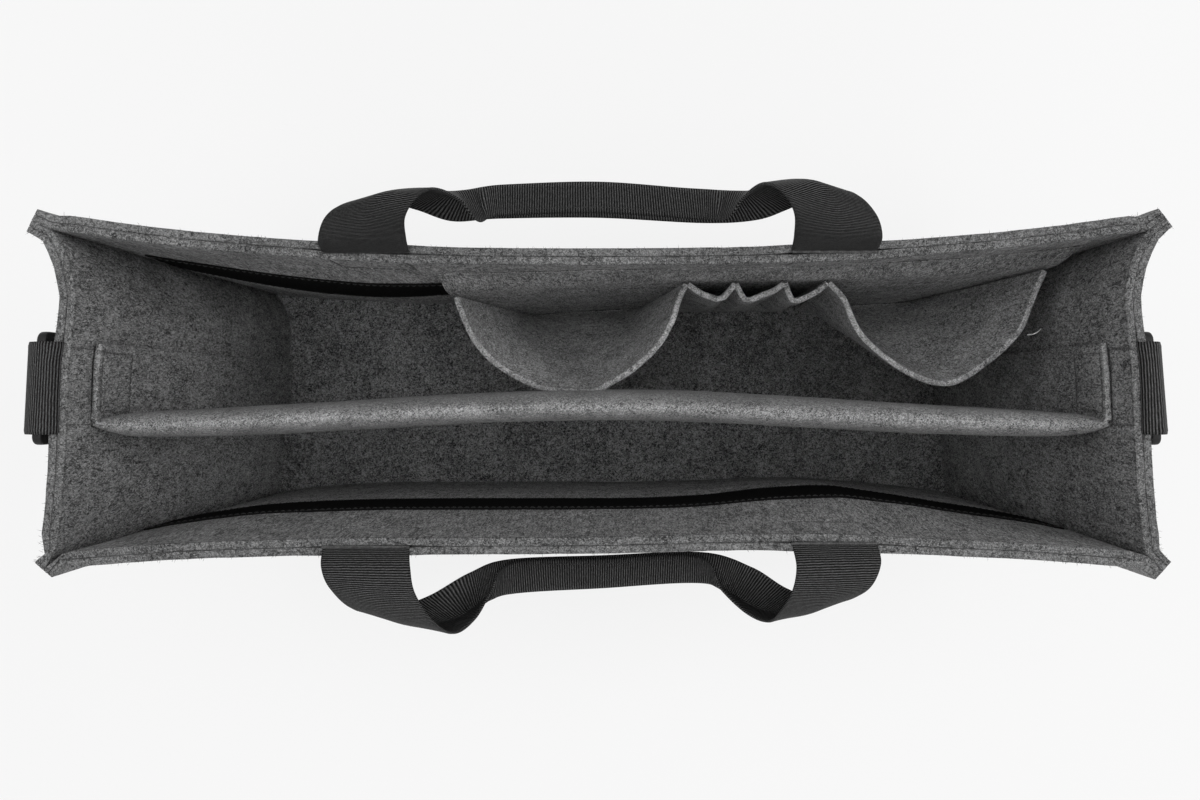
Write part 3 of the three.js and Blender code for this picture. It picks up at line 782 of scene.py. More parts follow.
def build_gusset(name, side):
    gusset = Gusset(name, side)
    surface = wall_surface(gusset, 1)
    low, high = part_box(f"{name}_ring_loop")
    start = surface[1] / 2 + 2.5 * MM             # path length at which the gusset passes Y = 0
    box = (start + low.y + 3 * MM, start + high.y - 3 * MM, RIM - LOOP_BOX_DEPTH, RIM - BOX_TOP)
    names = (name + "_gusset_{}_felt", name + "_{}_gusset", name + "_gusset_{}_fuzz", name + "_{}_loop_box")
    build_layers(gusset, surface, [box], 10 * MM, FELT, names, 0.7, side * 5.0, 31 * side)
    for end, u in (("front", 4 * MM), ("back", gusset.length - 4 * MM)):
        seam = [(u, 6 * MM), (u, RIM - 4 * MM)]
        run = on_surface(gusset.outer_face, seam, gusset.thick / 2 - 0.1 * MM, 4 * MM)
        place(stitch_line(f"{name}_{end}_corner_seam", run, THREAD), "bag", "felt_outer")
    return gusset


FRONT = build_long_wall("front", -1)
BACK = build_long_wall("back", 1)
LEFT = build_gusset("left", -1)
RIGHT = build_gusset("right", 1)


BASE_TUCK = 0.6 * MM                              # how far a base panel's edge reaches into the wall
BASE_CORNER_X = (236 * MM, 245 * MM)              # where its corners start and end
BASE_CORNER_Y = (57 * MM, 66 * MM)
BASE_DRAWN = (7.5 * MM, 5 * MM)                   # how far its corners are drawn out in X and Y


def build_base():
    """Two panels laid between the walls, each corner drawn out into the corner seams."""
    for node, material, slot, dip in (("base_outer_panel", FELT_OUT, "felt_outer", 0.0),
                                      ("base_inner_panel", FELT_BASE, "felt_inner", 0.3 * MM)):
        low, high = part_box(node)
        centre = (low.z + high.z) / 2
        low.x, high.x = low.x - 2.5 * MM, high.x + 2.5 * MM
        width, depth = high.x - low.x, high.y - low.y

        def point_at(u, v):
            x = low.x + u
            inset = FRONT.wall / 2 - BASE_TUCK
            y = mix(FRONT.middle_y(x, centre) + inset, BACK.middle_y(x, centre) - inset, v / depth)
            corner = smooth(*BASE_CORNER_X, abs(x)) * smooth(*BASE_CORNER_Y, abs(y))
            x += math.copysign(BASE_DRAWN[0] * corner, x)
            y += math.copysign(BASE_DRAWN[1] * corner, y)
            return Vector((x, y, centre - dip * math.sin(math.pi * clamp(u / width))))
        close = [3.5 * MM, 5 * MM, 7 * MM]
        piece = felt_sheet(node + "_felt", with_normal(point_at), (width, depth), high.z - low.z, material,
                           spacing=9 * MM, ripple=0.1, seed=4.0,
                           extra=(close + [width - c for c in close], close + [depth - c for c in close]))
        place(piece, "bag", slot, node)


build_base()
bpy.data.objects["base_board"].data.materials.clear()
bpy.data.objects["base_board"].data.materials.append(BOARD)


# ---------------------------------------------------------------- loop tape and organiser

def u_at(wall, x):
    """Path length along a long wall's inner face at which it passes x."""
    low, high = 0.0, wall.length
    for _ in range(24):
        middle = (low + high) / 2
        low, high = (middle, high) if wall.inner_face(middle, RIM * 0.7)[0].x < x else (low, middle)
    return low


def build_loop_tape(side, wall):
    """The tape sewn along a long wall, pressed a little into the felt."""
    low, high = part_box(f"{side}_loop_tape")
    start, end = u_at(wall, low.x), u_at(wall, high.x)
    depth, stand_off = 1.0 * MM, 0.35 * MM

    def surface(u, v):
        p, n = wall.inner_face(start + u, low.z + v)
        return p + n * (wall.thick / 2 + stand_off), n
    size = (end - start, high.z - low.z)
    inset = 2 * MM                                # of the two rows of stitches from the tape's edges
    rows = [((inset, v), (size[0] - inset, v)) for v in (inset, size[1] - inset)]
    piece = felt_sheet(f"{side}_loop_tape_pile", surface, size, depth, TAPE, spacing=6 * MM,
                       extra=((), around([inset, size[1] - inset])), dent=line_dent(rows, 0.25 * MM),
                       ripple=0.5, seed=wall.toward * 2.0 + 1)
    place(piece, "bag", "tape", f"{side}_loop_tape")
    for k, row in enumerate(rows):
        run = on_surface(surface, row, depth / 2 - 0.2 * MM, 4 * MM)
        sewn = stitch_line(f"{side}_loop_tape_stitches_{k}", run, THREAD_BLACK, radius=0.25 * MM)
        place(sewn, "bag", "tape")


build_loop_tape("front", FRONT)
build_loop_tape("back", BACK)


def front_line(node, count=19):
    """Front of an upright node in plan, read off its mesh, as a function of x."""
    low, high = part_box(node)
    tree = tree_of(node)
    xs = spread(low.x + 0.5 * MM, high.x - 0.5 * MM, count)
    ys = [tree.ray_cast(Vector((x, low.y - 0.1, (low.z + high.z) / 2)), Vector((0, 1, 0)))[0].y for x in xs]
    return lambda x: cubic(ys, index_in(xs, x))


BACKING_FRONT = front_line("organiser_backing")
ORG_FELT = 3 * MM
EDGE_THICK = 0.6 * MM                             # the backing's top edge, steamed flat against the wall
EDGE_RISE = 30 * MM                               # how far this edge stands above the plain backing
STRIP_ROW = 34 * MM                               # its row of stitches, below the tape's upper edge


def build_backing():
    """The felt the pockets are sewn to, held on the loop tape by the hook strip behind it."""
    low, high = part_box("organiser_backing")
    width, height = high.x - low.x, high.z + EDGE_RISE - low.z
    tape_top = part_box("back_loop_tape")[1].z - low.z

    def point_at(u, v):
        x = low.x + u
        y = BACKING_FRONT(clamp(x, low.x, high.x)) + ORG_FELT / 2
        against_wall = BACK.middle_y(x, low.z + v) - BACK.wall / 2 - EDGE_THICK / 2
        return Vector((x, mix(y, max(y, against_wall), smooth(tape_top - 4 * MM, height, v)), low.z + v))
    surface = with_normal(point_at)
    row = tape_top - STRIP_ROW
    line = ((4 * MM, row), (width - 4 * MM, row))
    sewn = line_dent([line])

    def dent(u, v):
        return sewn(u, v) + (ORG_FELT - EDGE_THICK) / 2 * smooth(height - 24 * MM, height - MM, v)
    piece = felt_sheet("organiser_backing_felt", surface, (width, height), ORG_FELT, FELT_WALL,
                       spacing=5 * MM, extra=((), around([row, height - 4 * MM])), dent=dent, seed=21.0)
    place(piece, "bag", "felt_inner", "organiser_backing")
    run = on_surface(surface, line, ORG_FELT / 2 - SUNK, 4 * MM)
    run = [(p - n * ORG_FELT, -n) if n.y > 0 else (p, n) for p, n in run]
    place(stitch_line("organiser_strip_stitches_0", run, THREAD, arch=FLAT_ARCH), "bag", "felt_inner")
    low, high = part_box("organiser_hook_strip")
    width, height = high.x - low.x, high.z - low.z

    def strip_at(u, v):
        x = low.x + u
        return Vector((x, BACKING_FRONT(clamp(x, low.x, high.x)) + ORG_FELT + 0.8 * MM, low.z + v))
    strip = felt_sheet("organiser_hook_tape", with_normal(strip_at), (width, height), 1.0 * MM, TAPE,
                       spacing=6 * MM, ripple=0.1)
    place(strip, "bag", "tape", "organiser_hook_strip")


# Plan of each pocket's top edge at rest, seam to seam, in millimetres.
LEFT_RIM = [(-76.8, 49.8), (-70.6, 34.3), (-64.9, 24.9), (-54.5, 14.6), (-38.4, 5.4), (-25.4, 2.0),
            (-9.0, 1.2), (-3.7, 2.2), (1.5, 5.0), (14.5, 13.0), (27.5, 26.0), (35.3, 39.5), (38.4, 49.8),
            (42.6, 59.2)]
RIGHT_RIM = [(116.6, 58.0), (124.5, 49.5), (129.7, 36.9), (136.9, 27.0), (150.4, 16.1), (164.4, 8.4),
             (175.8, 6.2), (185.2, 8.3), (203.3, 20.3), (215.8, 32.7), (221.5, 46.7), (228.4, 62.4)]
SLOT_RIMS = [
    [(43.6, 59.2), (49.0, 55.4), (55.0, 52.6), (60.0, 51.2), (62.6, 52.6), (65.4, 55.8), (67.9, 59.2)],
    [(68.4, 59.2), (70.2, 55.6), (72.4, 52.0), (75.2, 50.6), (80.6, 52.2), (87.0, 54.6), (93.4, 58.9)],
    [(94.0, 58.9), (95.4, 55.0), (96.8, 51.2), (99.6, 49.6), (105.6, 51.8), (111.0, 54.6), (115.6, 58.2)],
]
LEFT_FOOT = (-53.5, 20.0)                         # where the bottom edge starts and ends along X
RIGHT_FOOT = (124.5, 200.0)


def pocket(name, rim, foot, boxy):
    """A pocket front: its top edge follows rim, its bottom edge is sewn flat between the feet."""
    low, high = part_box(name)
    height = high.z - low.z
    edge = Path([Vector((x * MM, y * MM, 0)) for x, y in rim], 6)
    first, last = edge.points[0], edge.points[-1]
    feet = foot[0] * MM, foot[1] * MM

    def point_at(u, v):
        s = clamp(u / edge.length)
        level = clamp(v / height)
        top = edge.point(s * edge.length)
        share = clamp((top.x - first.x) / (last.x - first.x))
        forward = mix(first.y, last.y, share) - top.y
        deepest = max(mix(first.y, last.y, 0.5) - low.y - ORG_FELT, 1e-4)
        square = min(forward, deepest * 0.62 * boxy + forward * (1 - boxy))
        crease = smooth(0.0, 0.75, level)
        reach = mix(square, forward, crease) * level ** 0.75
        x = mix(mix(feet[0], feet[1], s), top.x, level)
        y = BACKING_FRONT(x) - 0.3 * MM - ORG_FELT / 2 - max(reach, 0)
        lean = 1.2 * MM * wobble(Vector((x, s * 0.1, v)), 0.05, 31.0) * math.sin(math.pi * s)
        return Vector((x, y + lean, low.z + v))

    size = (edge.length, height)
    surface = with_normal(point_at)
    left, right = 3 * MM, size[0] - 3 * MM
    seams = [((u, 2 * MM), (u, height - 3 * MM)) for u in (left, right)]
    seams.append(((left, 3 * MM), (right, 3 * MM)))
    piece = felt_sheet(f"{name}_felt", surface, size, ORG_FELT, FELT_POCKET, spacing=3.2 * MM,
                       dent=line_dent(seams), ripple=0.35, seed=rim[0][0])
    place(piece, "bag", "felt_inner", name)
    rim_fuzz(f"{name}_fuzz", surface, size, ORG_FELT, "bag", "felt_inner", int(rim[0][0]))
    for k, line in enumerate(seams if boxy else []):
        run = [(p, n if n.y < 0 else -n) for p, n in on_surface(surface, line, 0)]
        run = [(p + n * (ORG_FELT / 2 - SUNK), n) for p, n in run]
        place(stitch_line(f"{name}_seam_{k}", run, THREAD, arch=FLAT_ARCH), "bag", "felt_inner")


def build_organiser():
    build_backing()
    pocket("left_pocket", LEFT_RIM, LEFT_FOOT, 1.0)
    pocket("right_pocket", RIGHT_RIM, RIGHT_FOOT, 1.0)
    for k, rim in enumerate(SLOT_RIMS):
        pocket(f"tool_slot_{k + 1}", rim, (rim[0][0], rim[-1][0]), 0.0)


build_organiser()


# ---------------------------------------------------------------- divider

DIVIDER_LOW, DIVIDER_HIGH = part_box("divider_cover")
FOAM = 12 * MM                                    # thickness of the padded divider
PILLOW = 2.6 * MM                                 # how much fuller the middle of a face is than its edges
SWELL_CAP = 2 * MM                                # how far the cloth solver may move a point
START_SLIM = 1.5 * MM                             # thinner by this on each face before the cover swells
DIVIDER_REACH = 242 * MM                          # half length of the divider
END_SEAM_X = 222 * MM                             # where a seam closes each end of the padding


def divider_centre(x):
    """Y of the divider's middle surface: it bows about 10 mm back at the middle of its length."""
    return (-8.6 - 10.2 * (1 - hump(x / MM, 0, 150))) * MM


def divider_body():
    """The cover before it swells: a slab with a rounded fold along the top and tapered ends."""
    half_length = DIVIDER_HIGH.x + 9 * MM
    base, top = DIVIDER_LOW.z, DIVIDER_HIGH.z
    around_section = 40
    points, faces = [], []
    ends = [half_length * (1 - 0.045 * (1 - math.sin(a))) for a in spread(0, math.pi / 2, 7)][::-1]
    xs = [-e for e in ends] + spread(-half_length * 0.95, half_length * 0.95, 60) + ends[::-1]
    for x in xs:
        past = clamp((abs(x) - half_length * 0.955) / (half_length * 0.045))
        taper = math.sqrt(max(0.02, 1 - past ** 2.2))
        half = (FOAM / 2 - START_SLIM) * taper
        crown = top - 1.6 * MM * (1 - taper)
        for a in circle(around_section):
            c, s = math.cos(a), math.sin(a)
            y = half * math.copysign(abs(c) ** 0.18, c)
            middle = (crown + base) / 2
            reach = (crown - base) / 2
            z = middle + reach * math.copysign(abs(s) ** 0.9, s)
            round_off = clamp((crown - z) / half) if s > 0 else clamp((z - base) / half)
            y *= math.sqrt(max(0.0, 1 - (1 - round_off) ** 2))
            points.append(Vector((x, divider_centre(x) + y, z)))
    rows = len(xs)
    for r in range(rows - 1):
        for k in range(around_section):
            a, b = r * around_section + k, r * around_section + (k + 1) % around_section
            faces.append((a, a + around_section, b + around_section, b))
    faces.append(tuple(range(around_section)))
    faces.append(tuple(reversed(range((rows - 1) * around_section, rows * around_section))))
    return points, faces


def remesh(obj, size):
    """Gives a closed piece even faces of about size metres."""
    step = obj.modifiers.new("even_faces", "REMESH")
    step.mode = "VOXEL"
    step.voxel_size = size
    apply_modifiers(obj)


def apply_modifiers(obj):
    graph = bpy.context.evaluated_depsgraph_get()
    mesh = bpy.data.meshes.new_from_object(obj.evaluated_get(graph))
    material = obj.data.materials[0]
    obj.modifiers.clear()
    obj.data = mesh
    mesh.materials.clear()
    mesh.materials.append(material)
    mesh.polygons.foreach_set("use_smooth", [True] * len(mesh.polygons))


def inflate(obj, frames=20):
    """Swells a closed piece with the cloth solver, holding every point within the cap."""
    before = [v.co.copy() for v in obj.data.vertices]
    cloth = obj.modifiers.new("padding", "CLOTH")
    settings = cloth.settings
    settings.use_pressure = True
    settings.uniform_pressure_force = 4
    settings.effector_weights.gravity = 0
    settings.quality = 4
    cloth.point_cache.frame_start = 1
    cloth.point_cache.frame_end = frames
    scene = bpy.context.scene
    for f in range(1, frames + 1):
        scene.frame_set(f)
    apply_modifiers(obj)
    scene.frame_set(1)
    for v, start in zip(obj.data.vertices, before):
        moved = v.co - start
        if moved.length > SWELL_CAP:
            v.co = start + moved * (SWELL_CAP / moved.length)


def build_divider():
    """The padded cover, fuller at the middle of its faces, with a seam across each end."""
    points, faces = divider_body()
    cover = mesh_object("divider_padded_cover", points, faces, FELT_DIVIDER)
    remesh(cover, 4.5 * MM)
    for v in cover.data.vertices:
        rise = clamp((v.co.z - DIVIDER_LOW.z) / (DIVIDER_HIGH.z - DIVIDER_LOW.z))
        run = clamp(abs(v.co.x) / DIVIDER_HIGH.x)
        v.co.y += PILLOW * math.sin(math.pi * rise) ** 0.6 * (1 - run ** 4) * (
            1 if v.co.y > divider_centre(v.co.x) else -0.6)
    inflate(cover)
    smooth_out = cover.modifiers.new("settle", "SMOOTH")
    smooth_out.iterations = 6
    smooth_out.factor = 0.5
    finer = cover.modifiers.new("finer", "SUBSURF")
    finer.levels = 1
    apply_modifiers(cover)
    spots = [v.co.copy() for v in cover.data.vertices]
    normals = [v.normal.copy() for v in cover.data.vertices]
    low, high = min(p.z for p in spots), max(p.z for p in spots)
    stretch = DIVIDER_REACH / max(abs(p.x) for p in spots)
    for p, n in zip(spots, normals):
        p.x *= stretch
        p.z = DIVIDER_LOW.z + (p.z - low) * (DIVIDER_HIGH.z - DIVIDER_LOW.z) / (high - low)
        p += n * (0.22 * MM * wobble(p, 0.007, 41.0) + 0.35 * MM * wobble(p, 0.04, 43.0))
    cover.data.vertices.foreach_set("co", [c for p in spots for c in p])
    cover.data.update()
    place(cover, "divider", "felt_inner", "divider_cover", "divider_core")
    tree = tree_of("divider_padded_cover")
    for way in (-1, 1):
        for side in (-1, 1):
            run = []
            for z in spread(DIVIDER_LOW.z + 6 * MM, DIVIDER_HIGH.z - 9 * MM, 60):
                start = Vector((side * END_SEAM_X, way * 0.1, z))
                hit, normal, _, _ = tree.ray_cast(start, Vector((0, -way, 0)))
                run.append((hit - normal * 0.15 * MM, normal))
            word = ("front" if way < 0 else "back") + ("_left" if side < 0 else "_right")
            place(stitch_line(f"divider_end_seam_{word}", run, THREAD), "divider", "felt_inner")


def build_stray_thread():
    """A loose sewing thread caught on the right gusset, behind the pocket's edge."""
    bends = [(231.7, 30.0, 203), (233.3, 30.1, 205), (235.6, 31.0, 206), (237.2, 32.3, 206.5),
             (238.6, 33.6, 205)]
    route = Path([Vector(b) * MM for b in bends], 4)
    sides, points = 6, []
    for p in route.points:
        for a in circle(sides):
            points.append(p + Vector((0, math.cos(a), math.sin(a))) * 0.32 * MM)
    faces = tube_faces(0, len(route.points), sides)
    place(mesh_object("stray_thread", points, faces, THREAD_PALE), "bag", "felt_inner")


def build_flap(name, side, gusset):
    """A thin end of the divider's felt that turns along the gusset, with a hook patch behind it."""
    low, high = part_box(f"divider_{name}_flap")
    patch_low, patch_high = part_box(f"divider_{name}_hook_patch")
    felt = 2.6 * MM

    def gusset_inside(y):
        return abs(gusset.middle_x(y)) - gusset.wall / 2

    wrap = [Vector((side * 226 * MM, divider_centre(226 * MM), 0)),
            Vector((side * 236 * MM, divider_centre(236 * MM) + 0.5 * MM, 0))]
    along = [Vector((side * (gusset_inside(y * MM) - 1.5 * MM - felt / 2), y * MM, 0))
             for y in (-15, -8, -1, 7, 14, high.y / MM)]
    route = Path([*wrap, *along], 6)
    start = 9 * MM

    def point_at(u, v):
        p = route.point(start + u)
        p.z = low.z + v
        return p
    base = with_normal(point_at)

    def surface(u, v):
        p, n = base(u, v)
        return p, (n if n.x * side < 0 else -n)

    width, height = route.length - start, high.z - low.z
    box = (width - 33 * MM, width - 4.5 * MM, height - 32 * MM, height - 4 * MM)
    corners = [(box[0], box[2]), (box[1], box[2]), (box[1], box[3]), (box[0], box[3]), (box[0], box[2])]
    lines = list(zip(corners, corners[1:]))
    piece = felt_sheet(f"divider_{name}_flap_felt", surface, (width, height), felt, FELT, spacing=4 * MM,
                       extra=(around(box[:2]), around(box[2:])), dent=line_dent(lines), ripple=0.4,
                       seed=side * 51.0)
    place(piece, "divider", "felt_inner", f"divider_{name}_flap")
    sew(f"divider_{name}_patch_stitches", surface, corners, felt, "divider", "felt_inner")

    size = (patch_high.y - patch_low.y, patch_high.z - patch_low.z)

    def patch_at(u, v):
        y = patch_low.y + u
        return Vector((side * (gusset_inside(y) - 0.9 * MM), y, patch_low.z + v))
    patch = felt_sheet(f"divider_{name}_hook_tape", with_normal(patch_at), size, 0.9 * MM, TAPE, 5 * MM,
                       ripple=0.1)
    place(patch, "divider", "tape", f"divider_{name}_hook_patch")


build_divider()
build_stray_thread()
build_flap("left", -1, LEFT)
build_flap("right", 1, RIGHT)


# ---------------------------------------------------------------- webbing

WEB_WIDTH = 40 * MM
WEB_THICK = 1.25 * MM
CREASE = 0.07                                      # half width of the fold, as a share of the webbing
ACROSS = 25                                        # points across the webbing

# Each handle from left to right: outer edge, middle and inner edge of the webbing, in millimetres.
# Towards the grip the middle becomes a crease and the inner edge folds over on to the outer edge.
BACK_HANDLE = [
    [(-126, 61.5, 299), (-106.4, 61.5, 299), (-86.8, 61.5, 299)],
    [(-123.5, 65, 315), (-103.5, 65.5, 316), (-84.5, 65.5, 316)],
    [(-117, 73, 326), (-98, 74, 333), (-80.5, 71, 336)],
    [(-108, 78, 328), (-89, 80, 341), (-73, 77, 348)],
    [(-96, 82, 318), (-77, 84, 331), (-65, 80, 351)],
    [(-82, 80, 306), (-67, 85.5, 319), (-56, 77, 343)],
    [(-66, 75, 305), (-58, 87, 317), (-51, 71, 327)],
    [(-44, 75.5, 309), (-41, 88.5, 321), (-42, 76, 312.8)],
    [(0, 75.5, 311), (0, 89, 325), (0, 77, 314.5)],
    [(46, 73.5, 309), (42, 87, 320), (44, 74.5, 312.8)],
    [(70, 75.5, 305), (60, 86.5, 317), (55, 72, 329)],
    [(84, 80, 307), (68, 86, 320), (60, 78, 342)],
    [(97, 84.5, 318), (79, 87.5, 331), (67, 82, 351)],
    [(109, 82.5, 328), (91, 85, 340), (76, 79, 347)],
    [(119, 75, 325), (101, 77, 331), (82.5, 73, 335)],
    [(124.5, 67, 315), (105, 67.5, 316), (85.5, 67, 316)],
    [(126, 62.5, 299), (106.4, 62.5, 299), (87, 62.5, 299)],
]
FRONT_HANDLE = [
    [(-126, -71.6, 299), (-106.4, -71.6, 299), (-86.8, -71.6, 299)],
    [(-124.5, -80, 307), (-104.5, -80, 307.8), (-84.5, -80, 308)],
    [(-121, -90, 305), (-101.8, -91.5, 306.5), (-82.5, -92, 307)],
    [(-112.5, -101, 296), (-94, -106, 297), (-75.5, -106, 300)],
    [(-98, -103, 284), (-83, -112, 281), (-67.5, -113.5, 290.5)],
    [(-82, -98.5, 279), (-70, -111, 272), (-59, -108, 285)],
    [(-64, -89, 270.5), (-60, -106, 267), (-52.5, -97, 279)],
    [(-46, -83, 268), (-42, -98.5, 277), (-43.5, -84, 271.8)],
    [(0, -81, 268), (0, -95.5, 278.5), (0, -82, 271.8)],
    [(49, -79.5, 268), (46, -93.5, 276), (46.5, -81, 271.8)],
    [(72, -86, 272), (64, -101.5, 266), (57, -95.5, 278)],
    [(87, -94.5, 279), (76, -107, 270), (68, -105.5, 284)],
    [(101, -99, 285), (88, -107.5, 281), (77.6, -108.2, 290)],
    [(113, -97, 294), (98, -102, 296), (83, -100.5, 297.5)],
    [(121.5, -90, 303.5), (104, -91, 305), (86.6, -91, 304.5)],
    [(126, -79, 306), (107, -79.5, 306.5), (88, -80, 307)],
    [(126, -70.8, 299), (106.6, -70.8, 299), (87.2, -70.8, 299)],
]
# Stations where the folded flap puckers before its stitching.
PLEAT_LEFT, PLEAT_RIGHT = 6.55, 9.45


def webbing_grid(name, grid, travelled, width=WEB_WIDTH):
    """Closed webbing around a grid of rows, each running across the webbing."""
    rows, count = len(grid), len(grid[0])
    points, uvs = [], []
    for face in (1, -1):
        for r in range(rows):
            before, after = grid[max(r - 1, 0)], grid[min(r + 1, rows - 1)]
            for k in range(count):
                side = grid[r][min(k + 1, count - 1)] - grid[r][max(k - 1, 0)]
                normal = (after[k] - before[k]).cross(side).normalized()
                edge = min(k, count - 1 - k)
                selvedge = 0.5 if edge == 0 else (1.1 if edge == 1 else 1.0)
                points.append(grid[r][k] + normal * (face * selvedge * WEB_THICK / 2))
                uvs.append((k * width / (count - 1), travelled[r]))
    return mesh_object(name, points, slab_faces(count, rows), WEBBING, uvs)


def across_webbing(outer, middle, inner, share):
    """A point across the webbing, with the bend at its middle rounded off."""
    if share < 0.5 - CREASE:
        return outer.lerp(middle, share * 2)
    if share > 0.5 + CREASE:
        return middle.lerp(inner, share * 2 - 1)
    t = (share - 0.5 + CREASE) / (2 * CREASE)
    a, b = outer.lerp(middle, 1 - 2 * CREASE), middle.lerp(inner, 2 * CREASE)
    return a * (1 - t) ** 2 + middle * (2 * t * (1 - t)) + b * t ** 2


def build_handle(side, stations, toward):
    """One carrying handle, built along its stations."""
    spans = len(stations) - 1
    lines = [[Vector(station[k]) * MM for station in stations] for k in range(3)]
    grid, travelled = [], [0.0]
    for t in spread(0, spans, spans * 16 + 1):
        outer, middle, inner = (cubic(line, t, straight_ends=True) for line in lines)
        pucker = hump(t, PLEAT_LEFT, 0.14) + hump(t, PLEAT_RIGHT, 0.14)
        row = []
        for share in spread(0, 1, ACROSS):
            p = across_webbing(outer, middle, inner, share)
            p.z += 2.6 * MM * pucker * smooth(0.5, 0.62, share) * (1 - 0.5 * smooth(0.8, 1.0, share))
            row.append(p)
        if grid:
            travelled.append(travelled[-1] + (row[ACROSS // 2] - grid[-1][ACROSS // 2]).length)
        grid.append(row)
    body = f"{side}_handle"
    piece = webbing_grid(f"{side}_handle_webbing", grid, travelled)
    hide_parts(f"{side}_handle")
    seam = round(0.93 * (ACROSS - 1))
    lift, facing = Vector((0, 0, WEB_THICK / 2)), Vector((0, -toward * 0.6, 0.8)).normalized()
    run = [(row[seam] + lift, facing) for row in grid if abs(row[seam].x) < 38 * MM]
    sewn = stitch_line(f"{side}_grip_stitches", run, THREAD_BLACK, radius=0.28 * MM)
    place(sewn, body, "webbing")
    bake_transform(piece)


def flat_webbing(name, spots, across, width=WEB_WIDTH):
    """Flat webbing along spots, each (middle, length so far); across is its width direction."""
    grid = [[middle + across * (width * w) for w in spread(-0.5, 0.5, ACROSS)] for middle, _ in spots]
    return webbing_grid(name, grid, [travelled for _, travelled in spots], width)


def build_anchor(side, word, wall):
    """The sewn-in end of a strap, between the felt layers."""
    node = f"{side}_{word}_strap_anchor"
    low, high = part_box(node)
    middle_x = (low.x + high.x) / 2
    levels = spread(low.z, high.z, 14)
    spots = [(Vector((middle_x, wall.middle_y(middle_x, z), z)), z - low.z) for z in levels]
    place(flat_webbing(f"{node}_webbing", spots, Vector((1, 0, 0))), "bag", "webbing", node)


build_handle("front", FRONT_HANDLE, -1)
build_handle("back", BACK_HANDLE, 1)
for side, wall in (("front", FRONT), ("back", BACK)):
    for hand in ("left", "right"):
        build_anchor(side, hand, wall)


# ---------------------------------------------------------------- side loops and rings

# Side view of a loop in millimetres: outwards from the middle of the gusset, and height.
LOOP_VIEW = [(-0.5, 274), (-0.5, 288), (-0.4, 298), (0.6, 301.8), (4.0, 303.4), (9.0, 303.2),
             (13.6, 300.2), (16.1, 295.6), (16.4, 291), (15.4, 288.6), (13, 287.6), (10.6, 288.6),
             (9.6, 291), (9.4, 295.2), (7.6, 299.4), (4.4, 301.4), (1.9, 300.4), (0.8, 297.5), (0.7, 288),
             (0.7, 274)]


def ring_line(name):
    """The middle of a ring's upper bar at Y = 0, and how far it runs off the Y axis per metre."""
    mesh = bpy.data.objects[f"{name}_ring"].data
    low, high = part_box(f"{name}_ring")
    reach = 6 * MM
    ends = []
    for edge, way in ((low.y, 1), (high.y, -1)):
        xs = [v.co.x for v in mesh.vertices if way * (v.co.y - edge) < reach]
        ends.append((min(xs) + max(xs)) / 2)
    return sum(ends) / 2, (ends[1] - ends[0]) / (high.y - low.y - reach)


def build_loop(name, side, gusset):
    """The webbing loop that holds a ring, folded over the ring's upper bar."""
    node = f"{name}_ring_loop"
    low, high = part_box(node)
    bar_x, slant = ring_line(name)
    seam_x = gusset.middle_x(0)
    out = abs(bar_x - seam_x) / MM

    def shifted(o):
        """Moves the loop's outer end out with the ring's bar, which is 13 mm out in LOOP_VIEW."""
        if o < 4:
            return o
        return mix(4, o, (out - 4) / 9) if o < 9.5 else o + out - 13
    route = Path([Vector((shifted(o) * MM, 0, z * MM)) for o, z in LOOP_VIEW], 6)
    spots = []
    for s in spread(0, route.length, 110):
        p = route.point(s)
        spots.append((Vector((seam_x + side * p.x, (low.y + high.y) / 2, p.z)), s))
    piece = flat_webbing(f"{node}_webbing", spots, Vector((0, 1, 0)), high.y - low.y)
    for v in piece.data.vertices:
        outward = abs(v.co.x) - abs(seam_x)
        hold = 1 - smooth(2 * MM, 7 * MM, outward)
        v.co.x += hold * (gusset.middle_x(v.co.y) - seam_x) + (1 - hold) * slant * v.co.y
    place(piece, "bag", "webbing", node)


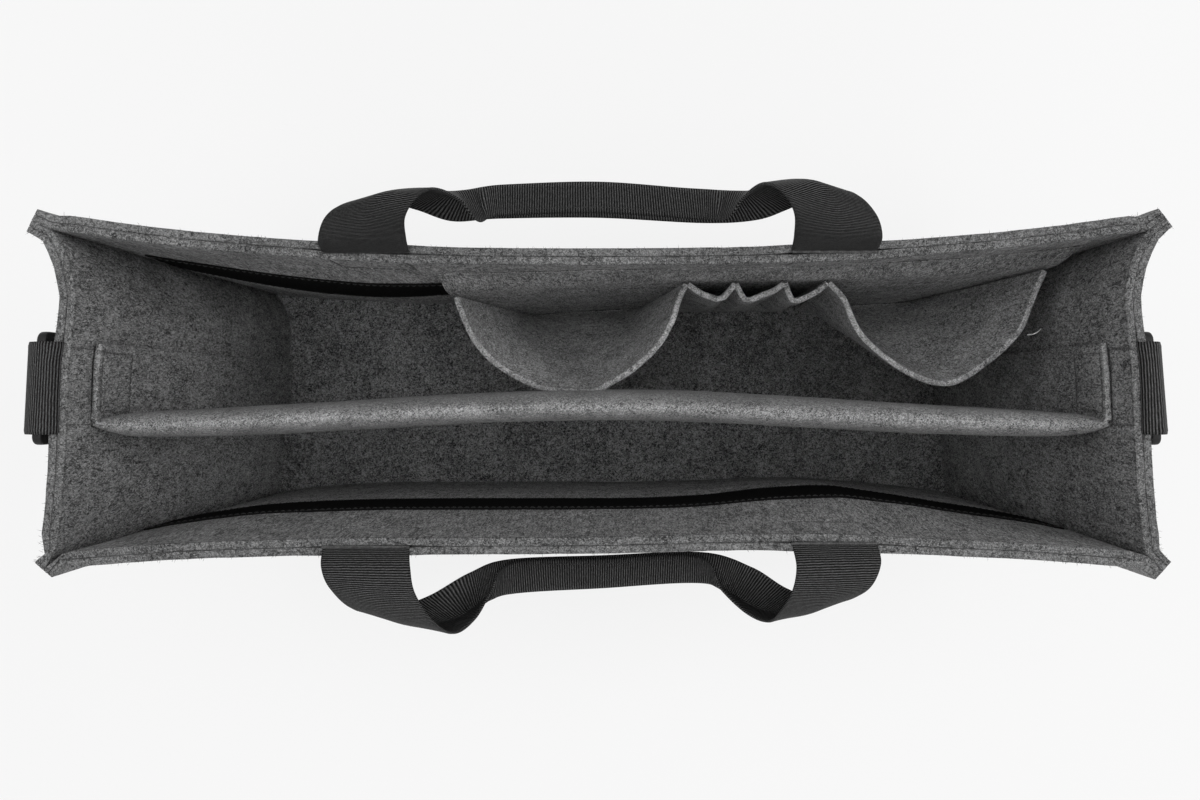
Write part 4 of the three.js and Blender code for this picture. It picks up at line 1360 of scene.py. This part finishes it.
def build_ring(name):
    """Moulded rectangular ring: a rounded-square bar swept round an upright rectangle."""
    low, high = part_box(f"{name}_ring")
    bar_x, slant = ring_line(name)
    bar = 4.6 * MM
    half_y, half_z = (high.y - low.y - bar) / 2, (high.z - low.z - bar) / 2
    middle = Vector((bar_x, (low.y + high.y) / 2, (low.z + high.z) / 2))
    corner = 1.8 * MM
    route = []
    for cy, cz, start in ((1, 1, 0), (-1, 1, 90), (-1, -1, 180), (1, -1, 270)):
        for k in range(6):
            a = math.radians(start + 90 * k / 5)
            c, s = math.cos(a), math.sin(a)
            route.append((cy * (half_y - corner) + corner * c, cz * (half_z - corner) + corner * s, c, s))
    points, faces = [], []
    around_bar = 20
    for y, z, ny, nz in route:
        for a in circle(around_bar):
            c = math.copysign(abs(math.cos(a)) ** 0.45, math.cos(a)) * bar / 2
            s = math.copysign(abs(math.sin(a)) ** 0.45, math.sin(a)) * bar / 2
            along = y + ny * s
            points.append(middle + Vector((c + slant * along, along, z + nz * s)))
    for r in range(len(route)):
        here, there = r * around_bar, (r + 1) % len(route) * around_bar
        for k in range(around_bar):
            beside = (k + 1) % around_bar
            faces.append((here + k, there + k, there + beside, here + beside))
    place(mesh_object(f"{name}_ring_moulding", points, faces, PLASTIC), f"{name}_ring", "ring_plastic",
          f"{name}_ring")


build_loop("left", -1, LEFT)
build_loop("right", 1, RIGHT)
build_ring("left")
build_ring("right")


# ---------------------------------------------------------------- camera, light, floor

def build_stage():
    """A pale floor, an even sky and four soft lights."""
    bpy.ops.mesh.primitive_plane_add(size=12, location=(0, 0, -0.0003))
    floor = bpy.context.object
    floor.name = "studio_floor"
    floor.data.materials.append(floor_material())
    world = bpy.data.worlds.new("studio")
    bpy.context.scene.world = world
    world.use_nodes = True
    sky = world.node_tree.nodes["Background"].inputs
    sky["Color"].default_value = (1, 1, 1, 1)
    sky["Strength"].default_value = 0.6
    for name, spot, size, power in (("overhead_softbox", (0.0, 0.1, 2.4), 1.6, 30),
                                    ("right_softbox", (2.2, 0.3, 1.9), 1.5, 30),
                                    ("left_fill", (-2.2, 0.3, 1.9), 1.5, 10),
                                    ("front_fill", (0.3, -1.9, 1.9), 1.6, 9)):
        data = bpy.data.lights.new(name, "AREA")
        data.shape = "SQUARE"
        data.size = size
        data.energy = power
        light = link(bpy.data.objects.new(name, data))
        light.location = spot
        light.rotation_euler = (Vector((0, 0, 0.2)) - Vector(spot)).to_track_quat("-Z", "Y").to_euler()


def build_camera():
    """Straight down over the rim, a little off centre."""
    data = bpy.data.cameras.new("camera")
    data.sensor_width = 36
    data.lens = 30.4
    data.clip_start = 0.02
    data.shift_x = -0.0267
    data.shift_y = -0.0033
    camera = link(bpy.data.objects.new("camera", data))
    camera.location = (14.5 * MM, -3.6 * MM, RIM + 460 * MM)
    bpy.context.scene.camera = camera


build_stage()
build_camera()
bpy.context.scene.view_settings.view_transform = "Standard"
